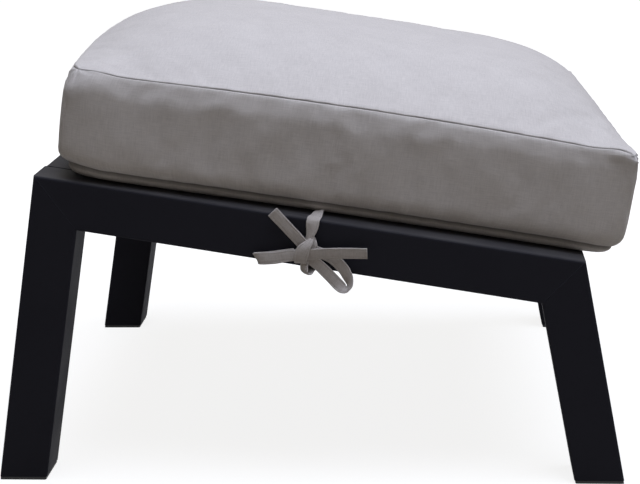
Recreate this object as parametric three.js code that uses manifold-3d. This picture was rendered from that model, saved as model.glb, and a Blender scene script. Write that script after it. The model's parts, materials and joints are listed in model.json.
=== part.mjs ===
// Outdoor ottoman footstool: a powder-coated tube frame with splayed legs, a sloping slatted deck,
// and a loose boxed cushion that a bow ties to each side rail.
// Millimetres. +X runs down the slope of the deck, +Y across it, +Z up. The feet stand at z = 0.
import * as THREE from 'three';
import Module from 'manifold-3d';
import { mergeVertices } from 'three/addons/utils/BufferGeometryUtils.js';

const wasm = await Module();
wasm.setup();

// Frame
const foot_span = 655;
const frame_width = 570;
const high_end_height = 329;
const low_end_height = 237;
const leg_splay = THREE.MathUtils.degToRad(10.5);
const tube_size = 50;
const tube_wall = 2;
const tube_corner_radius = 2.5;
const corner_steps = 3;
const weld_gap = 0.3;

// Deck slats
const slat_count = 6;
const slat_width = 40;
const slat_thickness = 5;
const slat_edge_radius = 1;

// Foot glides
const glide_flange = 3;
const glide_inset = 0.6;
const glide_plug_depth = 18;
const glide_plug_clearance = 0.5;

// Cushion
const cushion_length = 563;
const cushion_side_gap = 15;
const cushion_width = frame_width - 2 * cushion_side_gap;
const cushion_turn = THREE.MathUtils.degToRad(2);
const cushion_centre_share = 0.5325;
const cushion_rest_gap = 0.3;
const lower_seam_height = 12.7;
const boxing_height = 96;
const upper_seam_lift = 5;
const crown_height = 47;
const crown_near_power = 3;
const crown_far_power = 3.9;
const crown_high_end_power = 4;
const crown_low_end_power = 6;
const crown_fall_share = 0.06;
const side_draw = 7;
const low_end_draw = 5;
const high_end_swell = 11.5;
const side_bulge = 12;
const high_end_bulge = 6.7;
const low_end_bulge = 7.5;
const lower_shoulder_share = 0.14;
const upper_shoulder_share = 0.28;
const underside_roll = 10;
const plan_roundness = 24;
const cover_thickness = 2;
const cover_gap = 0.4;
const core_gap = 0.6;
const cushion_line_shares = [-1, -0.94, -0.8, -0.55, -0.2, 0.2, 0.55, 0.8, 0.94, 1];

// Zip in the high-end boxing
const zip_length = 440;
const tape_width = 26;
const tape_thickness = 1;
const chain_width = 5;
const chain_height = 1.8;
const zip_opening = 10;
const slider_length = 12;
const slider_wall = 1.1;
const slider_clearance = 0.4;
const slider_end_margin = 12;
const bridge_length = 9;
const bridge_width = 2.2;
const bridge_bar = 1.1;
const bridge_opening = 2.2;
const pull_thickness = 1.3;
const pull_width = 7;
const pull_length = 27;
const pull_hole_width = 3.6;
const pull_hole_length = 5;
const pull_end_bar = 1.4;

// Ties
const strap_width = 12;
const strap_thickness = 1.2;
const strap_gap = 0.4;
const strap_pitch = strap_thickness + strap_gap;
const strap_offset = 5.5;
const strap_slack = 3;
const strap_seam_gap = 1;
const tail_upper_length = 50;
const tail_upper_angle = THREE.MathUtils.degToRad(134);
const tail_side_length = 65;
const tail_side_angle = THREE.MathUtils.degToRad(9.5);
const flat_loop_length = 50;
const flat_loop_angle = THREE.MathUtils.degToRad(195.5);
const open_loop_length = 57;
const open_loop_angle = THREE.MathUtils.degToRad(-39.7);
const knot_height_below_top = 33.8;
const knot_half_width = 10.5;
const knot_half_height = 8.5;
const knot_back = strap_pitch + strap_thickness / 2 + strap_gap;
const knot_depth = 4.5 * strap_pitch;
const knot_sides = 12;
const strap_steps = 10;
const loop_steps = 18;

const paint = { color: 0x151518, roughness: 0.5, metalness: 0.1 };
const plastic = { color: 0x101010, roughness: 0.6, metalness: 0 };
const cloth = { color: 0xb4b0ae, roughness: 0.95, metalness: 0 };
const foam = { color: 0xe6dfc8, roughness: 1, metalness: 0 };
const webbing = { color: 0xa39e9a, roughness: 0.95, metalness: 0 };
const zip_metal = { color: 0x77777a, roughness: 0.35, metalness: 0.9 };
const zip_tape_cloth = { color: 0x8d8986, roughness: 0.9, metalness: 0 };

// Closed meshes

function solid(points, triangles) {
  const geometry = new THREE.BufferGeometry();
  geometry.setAttribute('position', new THREE.Float32BufferAttribute(points.flatMap((p) => p.toArray()), 3));
  let volume = 0;
  for (const [a, b, c] of triangles) {
    volume += points[a].dot(new THREE.Vector3().crossVectors(points[b], points[c]));
  }
  geometry.setIndex(triangles.flatMap(([a, b, c]) => (volume < 0 ? [a, c, b] : [a, b, c])));
  return geometry;
}

// Joins each ring of points to the next one, and the last to the first if the rings go round.
function wallTriangles(ring_count, ring_size, goes_round = false) {
  const triangles = [];
  for (let r = 0; r < ring_count - (goes_round ? 0 : 1); r += 1) {
    const next = (r + 1) % ring_count;
    for (let i = 0; i < ring_size; i += 1) {
      const j = (i + 1) % ring_size;
      const quad = [r * ring_size + i, r * ring_size + j, next * ring_size + j, next * ring_size + i];
      triangles.push([quad[0], quad[1], quad[2]], [quad[0], quad[2], quad[3]]);
    }
  }
  return triangles;
}

function closedLoft(rings) {
  const size = rings[0].length;
  const triangles = wallTriangles(rings.length, size);
  const last = (rings.length - 1) * size;
  for (let i = 1; i < size - 1; i += 1) {
    triangles.push([0, i + 1, i], [last, last + i, last + i + 1]);
  }
  return solid(rings.flat(), triangles);
}

// A pipe: its outer rings from one end to the other, then its inner rings back again.
function hollowLoft(outer, inner) {
  const rings = [...outer, ...[...inner].reverse()];
  return solid(rings.flat(), wallTriangles(rings.length, rings[0].length, true));
}

// A sheet between two grids of points, closed by a rim round their edges.
function sheetSolid(front, back) {
  const rows = front.length;
  const columns = front[0].length;
  const points = [...front.flat(), ...back.flat()];
  const far_side = rows * columns;
  const triangles = [];
  for (let r = 0; r < rows - 1; r += 1) {
    for (let c = 0; c < columns - 1; c += 1) {
      const a = r * columns + c;
      const quad = [a, a + 1, a + columns + 1, a + columns];
      triangles.push([quad[0], quad[1], quad[2]], [quad[0], quad[2], quad[3]]);
      const under = quad.map((q) => q + far_side);
      triangles.push([under[0], under[2], under[1]], [under[0], under[3], under[2]]);
    }
  }
  const edge = [];
  for (let c = 0; c < columns - 1; c += 1) edge.push(c);
  for (let r = 0; r < rows - 1; r += 1) edge.push(r * columns + columns - 1);
  for (let c = columns - 1; c > 0; c -= 1) edge.push((rows - 1) * columns + c);
  for (let r = rows - 1; r > 0; r -= 1) edge.push(r * columns);
  edge.forEach((a, i) => {
    const b = edge[(i + 1) % edge.length];
    triangles.push([a, b + far_side, b], [a, a + far_side, b + far_side]);
  });
  return solid(points, triangles);
}

function toManifold(geometry) {
  const bare = geometry.clone();
  bare.deleteAttribute('normal');
  bare.deleteAttribute('uv');
  const merged = mergeVertices(bare);
  return new wasm.Manifold(new wasm.Mesh({
    numProp: 3,
    vertProperties: new Float32Array(merged.attributes.position.array),
    triVerts: new Uint32Array(merged.index.array),
  }));
}

function fromManifold(shape) {
  const mesh = shape.getMesh();
  const geometry = new THREE.BufferGeometry();
  geometry.setAttribute('position', new THREE.BufferAttribute(new Float32Array(mesh.vertProperties), 3));
  geometry.setIndex(new THREE.BufferAttribute(new Uint32Array(mesh.triVerts), 1));
  return geometry;
}

function addMesh(group, name, geometry, finish) {
  geometry.computeVertexNormals();
  const mesh = new THREE.Mesh(geometry, new THREE.MeshStandardMaterial(finish));
  mesh.name = name;
  group.add(mesh);
  return mesh;
}

// Points of a rectangle with rounded corners, from 0,0 to width,height.
function roundedSection(width, height, radius, inset = 0) {
  const arc_radius = Math.max(radius - inset, radius / 5);
  const reach = inset + arc_radius;
  const centres = [[width - reach, height - reach], [reach, height - reach], [reach, reach],
    [width - reach, reach]];
  return centres.flatMap(([x, y], corner) => Array.from({ length: corner_steps + 1 }, (_, i) => {
    const angle = (corner + i / corner_steps) * Math.PI / 2;
    return [x + arc_radius * Math.cos(angle), y + arc_radius * Math.sin(angle)];
  }));
}

// The side frame's centre plane: outer corners of a leg, rail and leg, seen along +Y.

const high_top = new THREE.Vector2(high_end_height * Math.tan(leg_splay), high_end_height);
const low_top = new THREE.Vector2(foot_span - low_end_height * Math.tan(leg_splay), low_end_height);
const deck_tilt = Math.atan2(high_top.y - low_top.y, low_top.x - high_top.x);
const deck_length = high_top.distanceTo(low_top);

function lineMeet(point, direction, through, along) {
  const across = direction.cross(along);
  const t = through.clone().sub(point).cross(along) / across;
  return point.clone().addScaledVector(direction, t);
}

const high_leg_direction = new THREE.Vector2(Math.sin(leg_splay), Math.cos(leg_splay));
const low_leg_direction = new THREE.Vector2(-Math.sin(leg_splay), Math.cos(leg_splay));
const rail_direction = low_top.clone().sub(high_top).normalize();
const high_leg_inward = new THREE.Vector2(high_leg_direction.y, -high_leg_direction.x);
const low_leg_inward = new THREE.Vector2(-low_leg_direction.y, low_leg_direction.x);
const rail_inward = new THREE.Vector2(rail_direction.y, -rail_direction.x);

function innerCorner(top, leg_direction, leg_inward) {
  const on_leg = top.clone().addScaledVector(leg_inward, tube_size);
  const on_rail = top.clone().addScaledVector(rail_inward, tube_size);
  return lineMeet(on_leg, leg_direction, on_rail, rail_direction);
}

// A cut line through two points, shifted square to itself to the side that `towards` points to.
function cut(from, to, towards, shift) {
  const along = to.clone().sub(from).normalize();
  const away = new THREE.Vector2(-along.y, along.x);
  const side = away.dot(towards) < 0 ? -1 : 1;
  return { point: from.clone().addScaledVector(away, side * shift), along };
}

const high_inner = innerCorner(high_top, high_leg_direction, high_leg_inward);
const low_inner = innerCorner(low_top, low_leg_direction, low_leg_inward);
const floor_cut = { point: new THREE.Vector2(0, glide_flange + weld_gap), along: new THREE.Vector2(1, 0) };

// A hollow tube in the side frame: s runs inward from the outer line and y across the tube.
function frameTube(outer_point, direction, inward, start, end, y_offset) {
  const ring = (section, at) => section.map(([s, y]) => {
    const line = outer_point.clone().addScaledVector(inward, s);
    const meet = lineMeet(line, direction, at.point, at.along);
    return new THREE.Vector3(meet.x, y_offset + y, meet.y);
  });
  const outside = roundedSection(tube_size, tube_size, tube_corner_radius);
  const inside = roundedSection(tube_size, tube_size, tube_corner_radius, tube_wall);
  return hollowLoft([ring(outside, start), ring(outside, end)], [ring(inside, start), ring(inside, end)]);
}

function addSideFrame(group, side, y_offset) {
  const half = weld_gap / 2;
  const down = new THREE.Vector2(0, -1);
  addMesh(group, `${side}_leg_high`, frameTube(high_top, high_leg_direction, high_leg_inward, floor_cut,
    cut(high_top, high_inner, down, half), y_offset), paint);
  addMesh(group, `${side}_side_rail`, frameTube(high_top, rail_direction, rail_inward,
    cut(high_top, high_inner, rail_direction, half),
    cut(low_top, low_inner, rail_direction.clone().negate(), half), y_offset), paint);
  addMesh(group, `${side}_leg_low`, frameTube(low_top, low_leg_direction, low_leg_inward, floor_cut,
    cut(low_top, low_inner, down, half), y_offset), paint);
}

// A glide: a flange under the tube's slanted foot, and a plug that fits inside the tube.
function glide(outer_point, direction, inward, y_offset) {
  const ring = (section, height) => section.map(([s, y]) => {
    const line = outer_point.clone().addScaledVector(inward, s);
    const meet = lineMeet(line, direction, new THREE.Vector2(0, height), new THREE.Vector2(1, 0));
    return new THREE.Vector3(meet.x, y_offset + y, meet.y);
  });
  const flange = roundedSection(tube_size, tube_size, tube_corner_radius, glide_inset);
  const plug = roundedSection(tube_size, tube_size, tube_corner_radius, tube_wall + glide_plug_clearance);
  return closedLoft([ring(flange, 0), ring(flange, glide_flange), ring(plug, glide_flange),
    ring(plug, glide_flange + glide_plug_depth)]);
}

// Deck: a group in which x runs down the slope, y across it and z square to it, with z = 0 on the rail tops.

function crossTube(start_x) {
  const ring = (section, y) => section.map(([x, z]) => new THREE.Vector3(start_x + x, y, z - tube_size));
  const outside = roundedSection(tube_size, tube_size, tube_corner_radius);
  const inside = roundedSection(tube_size, tube_size, tube_corner_radius, tube_wall);
  const ends = [tube_size + weld_gap, frame_width - tube_size - weld_gap];
  return hollowLoft(ends.map((y) => ring(outside, y)), ends.map((y) => ring(inside, y)));
}

function slat(centre_x) {
  const section = roundedSection(slat_width, slat_thickness, slat_edge_radius);
  const ring = (y) => section.map(([x, z]) => (
    new THREE.Vector3(centre_x - slat_width / 2 + x, y, z - slat_thickness)));
  return closedLoft([ring(tube_size + weld_gap), ring(frame_width - tube_size - weld_gap)]);
}

function addDeck(deck) {
  addMesh(deck, 'cross_rail_high', crossTube(weld_gap), paint);
  addMesh(deck, 'cross_rail_low', crossTube(deck_length - tube_size - weld_gap), paint);
  const clear_length = deck_length - 2 * (tube_size + weld_gap);
  const slat_spacing = (clear_length - slat_count * slat_width) / (slat_count + 1);
  for (let i = 0; i < slat_count; i += 1) {
    const edge = tube_size + weld_gap + slat_spacing + i * (slat_width + slat_spacing);
    addMesh(deck, `deck_slat_${i + 1}`, slat(edge + slat_width / 2), paint);
  }
}

// Cushion: x and y shares run from -1 to 1 across it. Levels run up the boxing, from 0 at its lower seam to
// 1 at its upper one.

// How far a level is into the upper shoulder, where the boxing curves in to its upper seam.
function shoulderShare(level) {
  return Math.max(0, level + upper_shoulder_share - 1) / upper_shoulder_share;
}

// How much of its bulge the boxing has at a level: all of it between the two rounded shoulders.
function bulgeShare(level) {
  const below = Math.max(0, lower_shoulder_share - level) / lower_shoulder_share;
  return 1 - below ** 2 - shoulderShare(level) ** 2;
}

// The outline has rounded corners. Its sides draw in between them, but the high end swells out at its top.
function outline(x_share, y_share, level) {
  const reach = Math.max(Math.abs(x_share), Math.abs(y_share));
  const rounding = reach === 0 ? 1
    : (Math.abs(x_share / reach) ** plan_roundness + Math.abs(y_share / reach) ** plan_roundness)
      ** (-1 / plan_roundness);
  const at_low_end = x_share > 0;
  const bulge = bulgeShare(level);
  const end_bulge = at_low_end ? low_end_bulge : high_end_bulge;
  const end_draw = at_low_end ? low_end_draw : -high_end_swell * shoulderShare(level);
  const half_length = cushion_length / 2 + end_bulge * bulge - end_draw * (1 - y_share ** 2);
  const half_width = cushion_width / 2 + side_bulge * bulge - side_draw * (1 - x_share ** 2);
  return new THREE.Vector2(x_share * rounding * half_length, y_share * rounding * half_width);
}

function upperSeamHeight(x_share, y_share) {
  return lower_seam_height + boxing_height + upper_seam_lift * (1 - (x_share * y_share) ** 2);
}

function topHeight(x_share, y_share) {
  const end_power = x_share > 0 ? crown_low_end_power : crown_high_end_power;
  const side_power = y_share > 0 ? crown_far_power : crown_near_power;
  const dome = (1 - Math.abs(x_share) ** end_power) * (1 - Math.abs(y_share) ** side_power);
  return upperSeamHeight(x_share, y_share) + crown_height * dome * (1 - crown_fall_share * x_share);
}

function undersideHeight(x_share, y_share) {
  const from_end = (1 - Math.abs(x_share)) * cushion_length / 2;
  const from_side = (1 - Math.abs(y_share)) * cushion_width / 2;
  const from_edge = Math.min(from_end, from_side, underside_roll);
  const arc_share = Math.sqrt(1 - (1 - from_edge / underside_roll) ** 2);
  return cushion_rest_gap + (lower_seam_height - cushion_rest_gap) * (1 - arc_share);
}

function cushionGrid(height, level) {
  return cushion_line_shares.map((x) => cushion_line_shares.map((y) => {
    const at = outline(x, y, level);
    return new THREE.Vector3(at.x, at.y, height(x, y));
  }));
}

// The panels end flush with the boxing beside their seams.
const seam_allowance = cover_thickness + cover_gap;
const seam_level = seam_allowance / boxing_height;

function topPanel() {
  const inner_face = (x, y) => topHeight(x, y) - cover_thickness;
  return sheetSolid(cushionGrid(topHeight, 1 - seam_level), cushionGrid(inner_face, 1 - seam_level));
}

function bottomPanel() {
  const inner_face = (x, y) => undersideHeight(x, y) + cover_thickness;
  return sheetSolid(cushionGrid(undersideHeight, seam_level), cushionGrid(inner_face, seam_level));
}

function levelHeight(x_share, y_share, level) {
  return lower_seam_height + (upperSeamHeight(x_share, y_share) - lower_seam_height) * level;
}

const lower_shoulder_level = lower_shoulder_share;
const upper_shoulder_levels = [1 - upper_shoulder_share, 1 - upper_shoulder_share / 2];

// One strip of the boxing between two heights, with rows at the levels between them. `place` turns a share
// along it into shares of the outline.
function boxingStrip(place, low, high, levels) {
  const end_share = 1 - 2 * cover_gap / cushion_width;
  const step_share = cover_gap / cushion_width;
  const heights = [low, ...levels.map((level) => (x, y) => levelHeight(x, y, level)), high];
  const grid = (depth) => heights.map((height_at) => cushion_line_shares.map((along) => {
    const share = along * end_share;
    const [x, y] = place(share);
    const height = height_at(x, y);
    const level = (height - lower_seam_height) / (upperSeamHeight(x, y) - lower_seam_height);
    const at = outline(x, y, level);
    const ends = [share - step_share, share + step_share].map((s) => outline(...place(s), level));
    const tangent = ends[1].sub(ends[0]).normalize();
    const inward = new THREE.Vector2(-tangent.y, tangent.x);
    if (inward.dot(at) > 0) inward.negate();
    at.addScaledVector(inward, depth);
    return new THREE.Vector3(at.x, at.y, height);
  }));
  return sheetSolid(grid(0), grid(cover_thickness));
}

const zip_height = lower_seam_height + (boxing_height + upper_seam_lift) / 2;

// Where the boxing curves inward beside the zip, the tape lies this much deeper than its inner face.
const tape_setback = high_end_bulge * (1 - bulgeShare(0.5 - tape_width / (boxing_height + upper_seam_lift)));

// The foam: it fills the cover, and leaves room for the zip tape behind the high-end boxing.
function core() {
  const side_inset = cover_thickness + core_gap;
  const zip_inset = tape_thickness + 2 * cover_gap + tape_setback;
  const place = (x, y, level) => {
    const at = outline(x, y, level);
    at.x *= 1 - 2 * side_inset / cushion_length;
    at.y *= 1 - 2 * side_inset / cushion_width;
    if (at.x < 0) at.x *= 1 - 2 * zip_inset / cushion_length;
    return at;
  };
  const lines = cushion_line_shares;
  const count = lines.length;
  const lower = (x, y) => undersideHeight(x, y) + cover_thickness + core_gap;
  const upper = (x, y) => topHeight(x, y) - cover_thickness - core_gap;
  const grid = (height, level) => lines.map((x) => lines.map((y) => {
    const at = place(x, y, level);
    return new THREE.Vector3(at.x, at.y, height(x, y));
  })).flat();
  const points = [...grid(lower, 0), ...grid(upper, 1)];
  const upper_start = count * count;
  const triangles = [];
  for (let r = 0; r < count - 1; r += 1) {
    for (let c = 0; c < count - 1; c += 1) {
      const quad = [r * count + c, r * count + c + 1, (r + 1) * count + c + 1, (r + 1) * count + c];
      triangles.push([quad[0], quad[1], quad[2]], [quad[0], quad[2], quad[3]]);
      const over = quad.map((q) => q + upper_start);
      triangles.push([over[0], over[2], over[1]], [over[0], over[3], over[2]]);
    }
  }
  const edge = [];
  for (let c = 0; c < count - 1; c += 1) edge.push([0, c]);
  for (let r = 0; r < count - 1; r += 1) edge.push([r, count - 1]);
  for (let c = count - 1; c > 0; c -= 1) edge.push([count - 1, c]);
  for (let r = count - 1; r > 0; r -= 1) edge.push([r, 0]);
  const corners = edge.map(([r, c]) => r * count + c);
  const rings = [corners];
  for (const level of [lower_shoulder_level, upper_shoulder_levels[0]]) {
    rings.push(edge.map((_, i) => points.length + i));
    for (const [r, c] of edge) {
      const at = place(lines[r], lines[c], level);
      points.push(new THREE.Vector3(at.x, at.y, levelHeight(lines[r], lines[c], level)));
    }
  }
  rings.push(corners.map((corner) => corner + upper_start));
  for (let row = 1; row < rings.length; row += 1) {
    const [low, high] = [rings[row - 1], rings[row]];
    edge.forEach((_, i) => {
      const j = (i + 1) % edge.length;
      triangles.push([low[i], high[j], low[j]], [low[i], high[i], high[j]]);
    });
  }
  return solid(points, triangles);
}

// Zip: x is measured from the boxing's outer face, outwards along -X.

const boxing_face = -(cushion_length / 2 + high_end_bulge);
const tape_front = boxing_face + cover_thickness + cover_gap + tape_setback;
const chain_front = tape_front - chain_height;

function zipTape() {
  const width_half = tape_width / 2;
  const chain_half = chain_width / 2;
  const profile = new THREE.Shape([[0, -width_half], [0, -chain_half], [-chain_height, -chain_half],
    [-chain_height, chain_half], [0, chain_half], [0, width_half], [tape_thickness, width_half],
    [tape_thickness, -width_half]].map(([x, z]) => new THREE.Vector2(x, z)));
  const geometry = new THREE.ExtrudeGeometry(profile, { depth: zip_length, bevelEnabled: false });
  geometry.rotateX(Math.PI / 2);
  geometry.translate(tape_front, zip_length / 2, zip_height);
  return geometry;
}

// The slider wraps the chain on three sides, with a bridge on its back that holds the pull.
function zipSlider() {
  const inner_half = chain_width / 2 + slider_clearance;
  const outer_half = inner_half + slider_wall;
  const skirt = chain_height - slider_clearance;
  const inner_back = -slider_clearance;
  const outer_back = -slider_clearance - slider_wall;
  const profile = new THREE.Shape([[skirt, -outer_half], [skirt, -inner_half], [inner_back, -inner_half],
    [inner_back, inner_half], [skirt, inner_half], [skirt, outer_half], [outer_back, outer_half],
    [outer_back, -outer_half]].map(([x, z]) => new THREE.Vector2(x, z)));
  const body = new THREE.ExtrudeGeometry(profile, { depth: slider_length, bevelEnabled: false });
  body.rotateX(Math.PI / 2);
  body.translate(0, slider_length / 2, 0);
  const rise = bridge_opening + bridge_bar;
  const root = slider_wall / 2;
  const half = bridge_length / 2;
  const arch = new THREE.Shape([[-half, -root], [half, -root], [half, bridge_opening],
    [half - bridge_bar, rise], [bridge_bar - half, rise], [-half, bridge_opening]]
    .map(([x, y]) => new THREE.Vector2(x, y)));
  arch.holes.push(new THREE.Path([[bridge_bar - half, 0], [half - bridge_bar, 0],
    [half - bridge_bar, bridge_opening], [bridge_bar - half, bridge_opening]]
    .map(([x, y]) => new THREE.Vector2(x, y))));
  const bridge = new THREE.ExtrudeGeometry(arch, { depth: bridge_width, bevelEnabled: false });
  bridge.translate(0, 0, -bridge_width / 2);
  bridge.rotateZ(Math.PI / 2);
  bridge.translate(outer_back, 0, 0);
  return fromManifold(toManifold(body).add(toManifold(bridge)));
}

// The pull lies flat along the zip. Its end bar passes through the bridge.
function zipPull() {
  const half = pull_width / 2;
  const hole = pull_hole_width / 2;
  const start = -pull_end_bar / 2;
  const corner = pull_width / 4;
  const shape = new THREE.Shape([[start, -half], [start + pull_length - corner, -half],
    [start + pull_length, corner - half], [start + pull_length, half - corner],
    [start + pull_length - corner, half], [start, half]].map(([y, z]) => new THREE.Vector2(y, z)));
  const hole_start = pull_end_bar / 2;
  shape.holes.push(new THREE.Path([[hole_start, -hole], [hole_start + pull_hole_length, -hole],
    [hole_start + pull_hole_length, hole], [hole_start, hole]].map(([y, z]) => new THREE.Vector2(y, z))));
  const plate = new THREE.ExtrudeGeometry(shape, { depth: pull_thickness, bevelEnabled: false });
  plate.translate(0, 0, -pull_thickness / 2);
  plate.rotateX(Math.PI / 2);
  plate.rotateZ(Math.PI / 2);
  return plate;
}

function addZip(cushion) {
  addMesh(cushion, 'zip_tape', zipTape(), zip_tape_cloth);
  const slider_y = -zip_length / 2 + slider_end_margin;
  const slider = addMesh(cushion, 'zip_slider', zipSlider(), zip_metal);
  slider.position.set(chain_front, slider_y, zip_height);
  const pull = addMesh(cushion, 'zip_pull', zipPull(), zip_metal);
  const pivot = slider_clearance + slider_wall + bridge_opening / 2;
  pull.position.set(chain_front - pivot, slider_y, zip_height);
}

function addCushion(cushion) {
  const bottom = () => lower_seam_height + seam_allowance;
  const top = (x, y) => upperSeamHeight(x, y) - seam_allowance;
  const levels = [lower_shoulder_level, ...upper_shoulder_levels];
  addMesh(cushion, 'cushion_core', core(), foam);
  addMesh(cushion, 'cover_top_panel', topPanel(), cloth);
  addMesh(cushion, 'cover_bottom_panel', bottomPanel(), cloth);
  addMesh(cushion, 'cover_boxing_near', boxingStrip((s) => [s, -1], bottom, top, levels), cloth);
  addMesh(cushion, 'cover_boxing_far', boxingStrip((s) => [s, 1], bottom, top, levels), cloth);
  addMesh(cushion, 'cover_boxing_low_end', boxingStrip((s) => [1, s], bottom, top, levels), cloth);
  addMesh(cushion, 'cover_zip_strip_lower',
    boxingStrip((s) => [-1, s], bottom, () => zip_height - zip_opening / 2, [lower_shoulder_level]), cloth);
  addMesh(cushion, 'cover_zip_strip_upper',
    boxingStrip((s) => [-1, s], () => zip_height + zip_opening / 2, top, upper_shoulder_levels), cloth);
  addZip(cushion);
}

// Ties. A tie's places are measured from its knot's centre: x along the rail, y out from the rail's face
// (against the group's y on the near side), and z up. Straps lie in layers a strap's pitch apart.

// Rows of forward and sideways shares of the strap's length, and layers out from the rail's face.
const tail_shares = [[0.55, 0, 0.1], [1, 0, 0.5]];
const flat_loop_shares = [[0.5, 0, 0.4], [0.88, 0, 0.2], [1, 0, -1], [0.88, 0, -2.2], [0.5, 0, -2.5]];
const open_loop_shares = [[0.34, 0.063, -0.1], [0.62, 0.063, -0.9], [0.88, 0.08, -0.8], [1, 0.16, 2],
  [0.9, 0.27, 4.6], [0.66, 0.285, 2.8], [0.42, 0.25, -1.5], [0.3, 0.16, -1.8]];

function tiePoint(side, along, out, up) {
  return new THREE.Vector3(along, -side * out, up);
}

function strap(points, steps, across_of) {
  const curve = new THREE.CatmullRomCurve3(points);
  const rings = [];
  for (let i = 0; i <= steps; i += 1) {
    const centre = curve.getPoint(i / steps);
    const tangent = curve.getTangent(i / steps);
    const across = across_of(tangent);
    across.addScaledVector(tangent, -across.dot(tangent)).normalize();
    const normal = new THREE.Vector3().crossVectors(tangent, across);
    const corners = [[1, 1], [-1, 1], [-1, -1], [1, -1]];
    rings.push(corners.map(([w, t]) => centre.clone()
      .addScaledVector(across, w * strap_width / 2)
      .addScaledVector(normal, t * strap_thickness / 2)));
  }
  return closedLoft(rings);
}

// How far the knot reaches from its centre towards an angle.
function knotReach(angle) {
  return Math.hypot(knot_half_width * Math.cos(angle), knot_half_height * Math.sin(angle));
}

// A tail or loop that leaves the knot at an angle in the plane of the rail's face.
function knotStrap(side, form) {
  const { angle, length, start_layer, end_layer, shares, steps } = form;
  const forward = new THREE.Vector2(Math.cos(angle), Math.sin(angle));
  const sideways = new THREE.Vector2(-forward.y, forward.x);
  const at = (reach, aside, layer) => {
    const place = forward.clone().multiplyScalar(reach).addScaledVector(sideways, aside);
    return tiePoint(side, place.x, layer * strap_pitch, place.y);
  };
  const root = knotReach(angle) + strap_gap;
  const points = [at(root, shares[0][1] * length, start_layer)];
  for (const [reach, aside, layer] of shares) {
    points.push(at(reach * length, aside * length, start_layer + layer));
  }
  if (end_layer !== undefined) {
    const last = shares[shares.length - 1];
    points.push(at(root, last[1] * length / 2, end_layer));
  }
  return strap(points, steps, () => tiePoint(side, sideways.x, 0, sideways.y));
}

function knot(side) {
  const depth_shares = [0, 0.25, 0.7, 1];
  const size_shares = [0.8, 1, 1, 0.7];
  const rings = depth_shares.map((depth, r) => Array.from({ length: knot_sides }, (_, i) => {
    const angle = 2 * Math.PI * i / knot_sides;
    return tiePoint(side, knot_half_width * size_shares[r] * Math.cos(angle), knot_back + knot_depth * depth,
      knot_half_height * size_shares[r] * Math.sin(angle));
  }));
  return closedLoft(rings);
}

// From beside the cushion's lower seam, over the rail's top, and down its face to end behind the knot.
function outerStrap(side) {
  const lie = strap_pitch;
  const top = knot_height_below_top + lie;
  const seam_out = side_bulge * bulgeShare(seam_level) - cushion_side_gap - side_draw;
  const start_out = seam_out + strap_seam_gap + strap_thickness / 2;
  const start_up = knot_height_below_top + lower_seam_height - lie;
  const halfway = [(start_out - tube_corner_radius) / 2, (start_up + top - lie) / 2];
  const rows = [[start_out, start_up], halfway, [-tube_corner_radius, top], [lie / 2, top - lie / 2],
    [lie, top - lie - tube_corner_radius], [lie, top / 2], [lie, strap_gap]];
  const points = rows.map(([out, up]) => tiePoint(side, strap_offset, out, up));
  return strap(points, loop_steps, () => new THREE.Vector3(1, 0, 0));
}

// From the cushion's underside, down behind the rail, slack below it, and up to end behind the knot.
function innerStrap(side) {
  const lie = strap_pitch;
  const top = knot_height_below_top - strap_gap;
  const behind = tube_size + lie;
  const below = knot_height_below_top - tube_size - lie;
  const rows = [[-behind, top], [-behind, top - tube_size / 3], [-behind, below + tube_size / 3],
    [-behind, below + lie],
    [-tube_size, below - lie / 2], [-tube_size / 2, below - strap_slack / 2], [-lie, below - strap_slack],
    [lie, below - strap_slack / 2], [lie, below / 2], [lie, -strap_gap]];
  const points = rows.map(([out, up]) => tiePoint(side, strap_offset, out, up));
  return strap(points, 2 * strap_steps, () => new THREE.Vector3(1, 0, 0));
}

function addTie(tie, name, side) {
  const forms = {
    tail_upper: { angle: tail_upper_angle, length: tail_upper_length, start_layer: 3.5, shares: tail_shares,
      steps: strap_steps / 2 },
    tail_side: { angle: tail_side_angle, length: tail_side_length, start_layer: 5.4, shares: tail_shares,
      steps: strap_steps / 2 },
    loop_flat: { angle: flat_loop_angle, length: flat_loop_length, start_layer: 4.8, end_layer: 2.3,
      shares: flat_loop_shares, steps: loop_steps },
    loop_open: { angle: open_loop_angle, length: open_loop_length, start_layer: 3.7, end_layer: 1.9,
      shares: open_loop_shares, steps: loop_steps },
  };
  addMesh(tie, `${name}_tie_knot`, knot(side), webbing);
  addMesh(tie, `${name}_tie_outer_strap`, outerStrap(side), webbing);
  addMesh(tie, `${name}_tie_inner_strap`, innerStrap(side), webbing);
  for (const [form_name, form] of Object.entries(forms)) {
    addMesh(tie, `${name}_tie_${form_name}`, knotStrap(side, form), webbing);
  }
}

const footstool = new THREE.Group();
for (const [side, y_offset] of [['near', 0], ['far', frame_width - tube_size]]) {
  addSideFrame(footstool, side, y_offset);
  const high_glide = glide(high_top, high_leg_direction, high_leg_inward, y_offset);
  const low_glide = glide(low_top, low_leg_direction, low_leg_inward, y_offset);
  addMesh(footstool, `${side}_glide_high`, high_glide, plastic);
  addMesh(footstool, `${side}_glide_low`, low_glide, plastic);
}

const deck = new THREE.Group();
deck.position.set(high_top.x, 0, high_top.y);
deck.rotation.y = deck_tilt;
footstool.add(deck);
addDeck(deck);

const cushion = new THREE.Group();
cushion.position.set(deck_length * cushion_centre_share, frame_width / 2, 0);
cushion.rotation.z = cushion_turn;
deck.add(cushion);
addCushion(cushion);

for (const [name, side, y] of [['near', 1, 0], ['far', -1, frame_width]]) {
  const tie = new THREE.Group();
  tie.position.set(deck_length / 2, y, -knot_height_below_top);
  deck.add(tie);
  addTie(tie, name, side);
}

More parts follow.
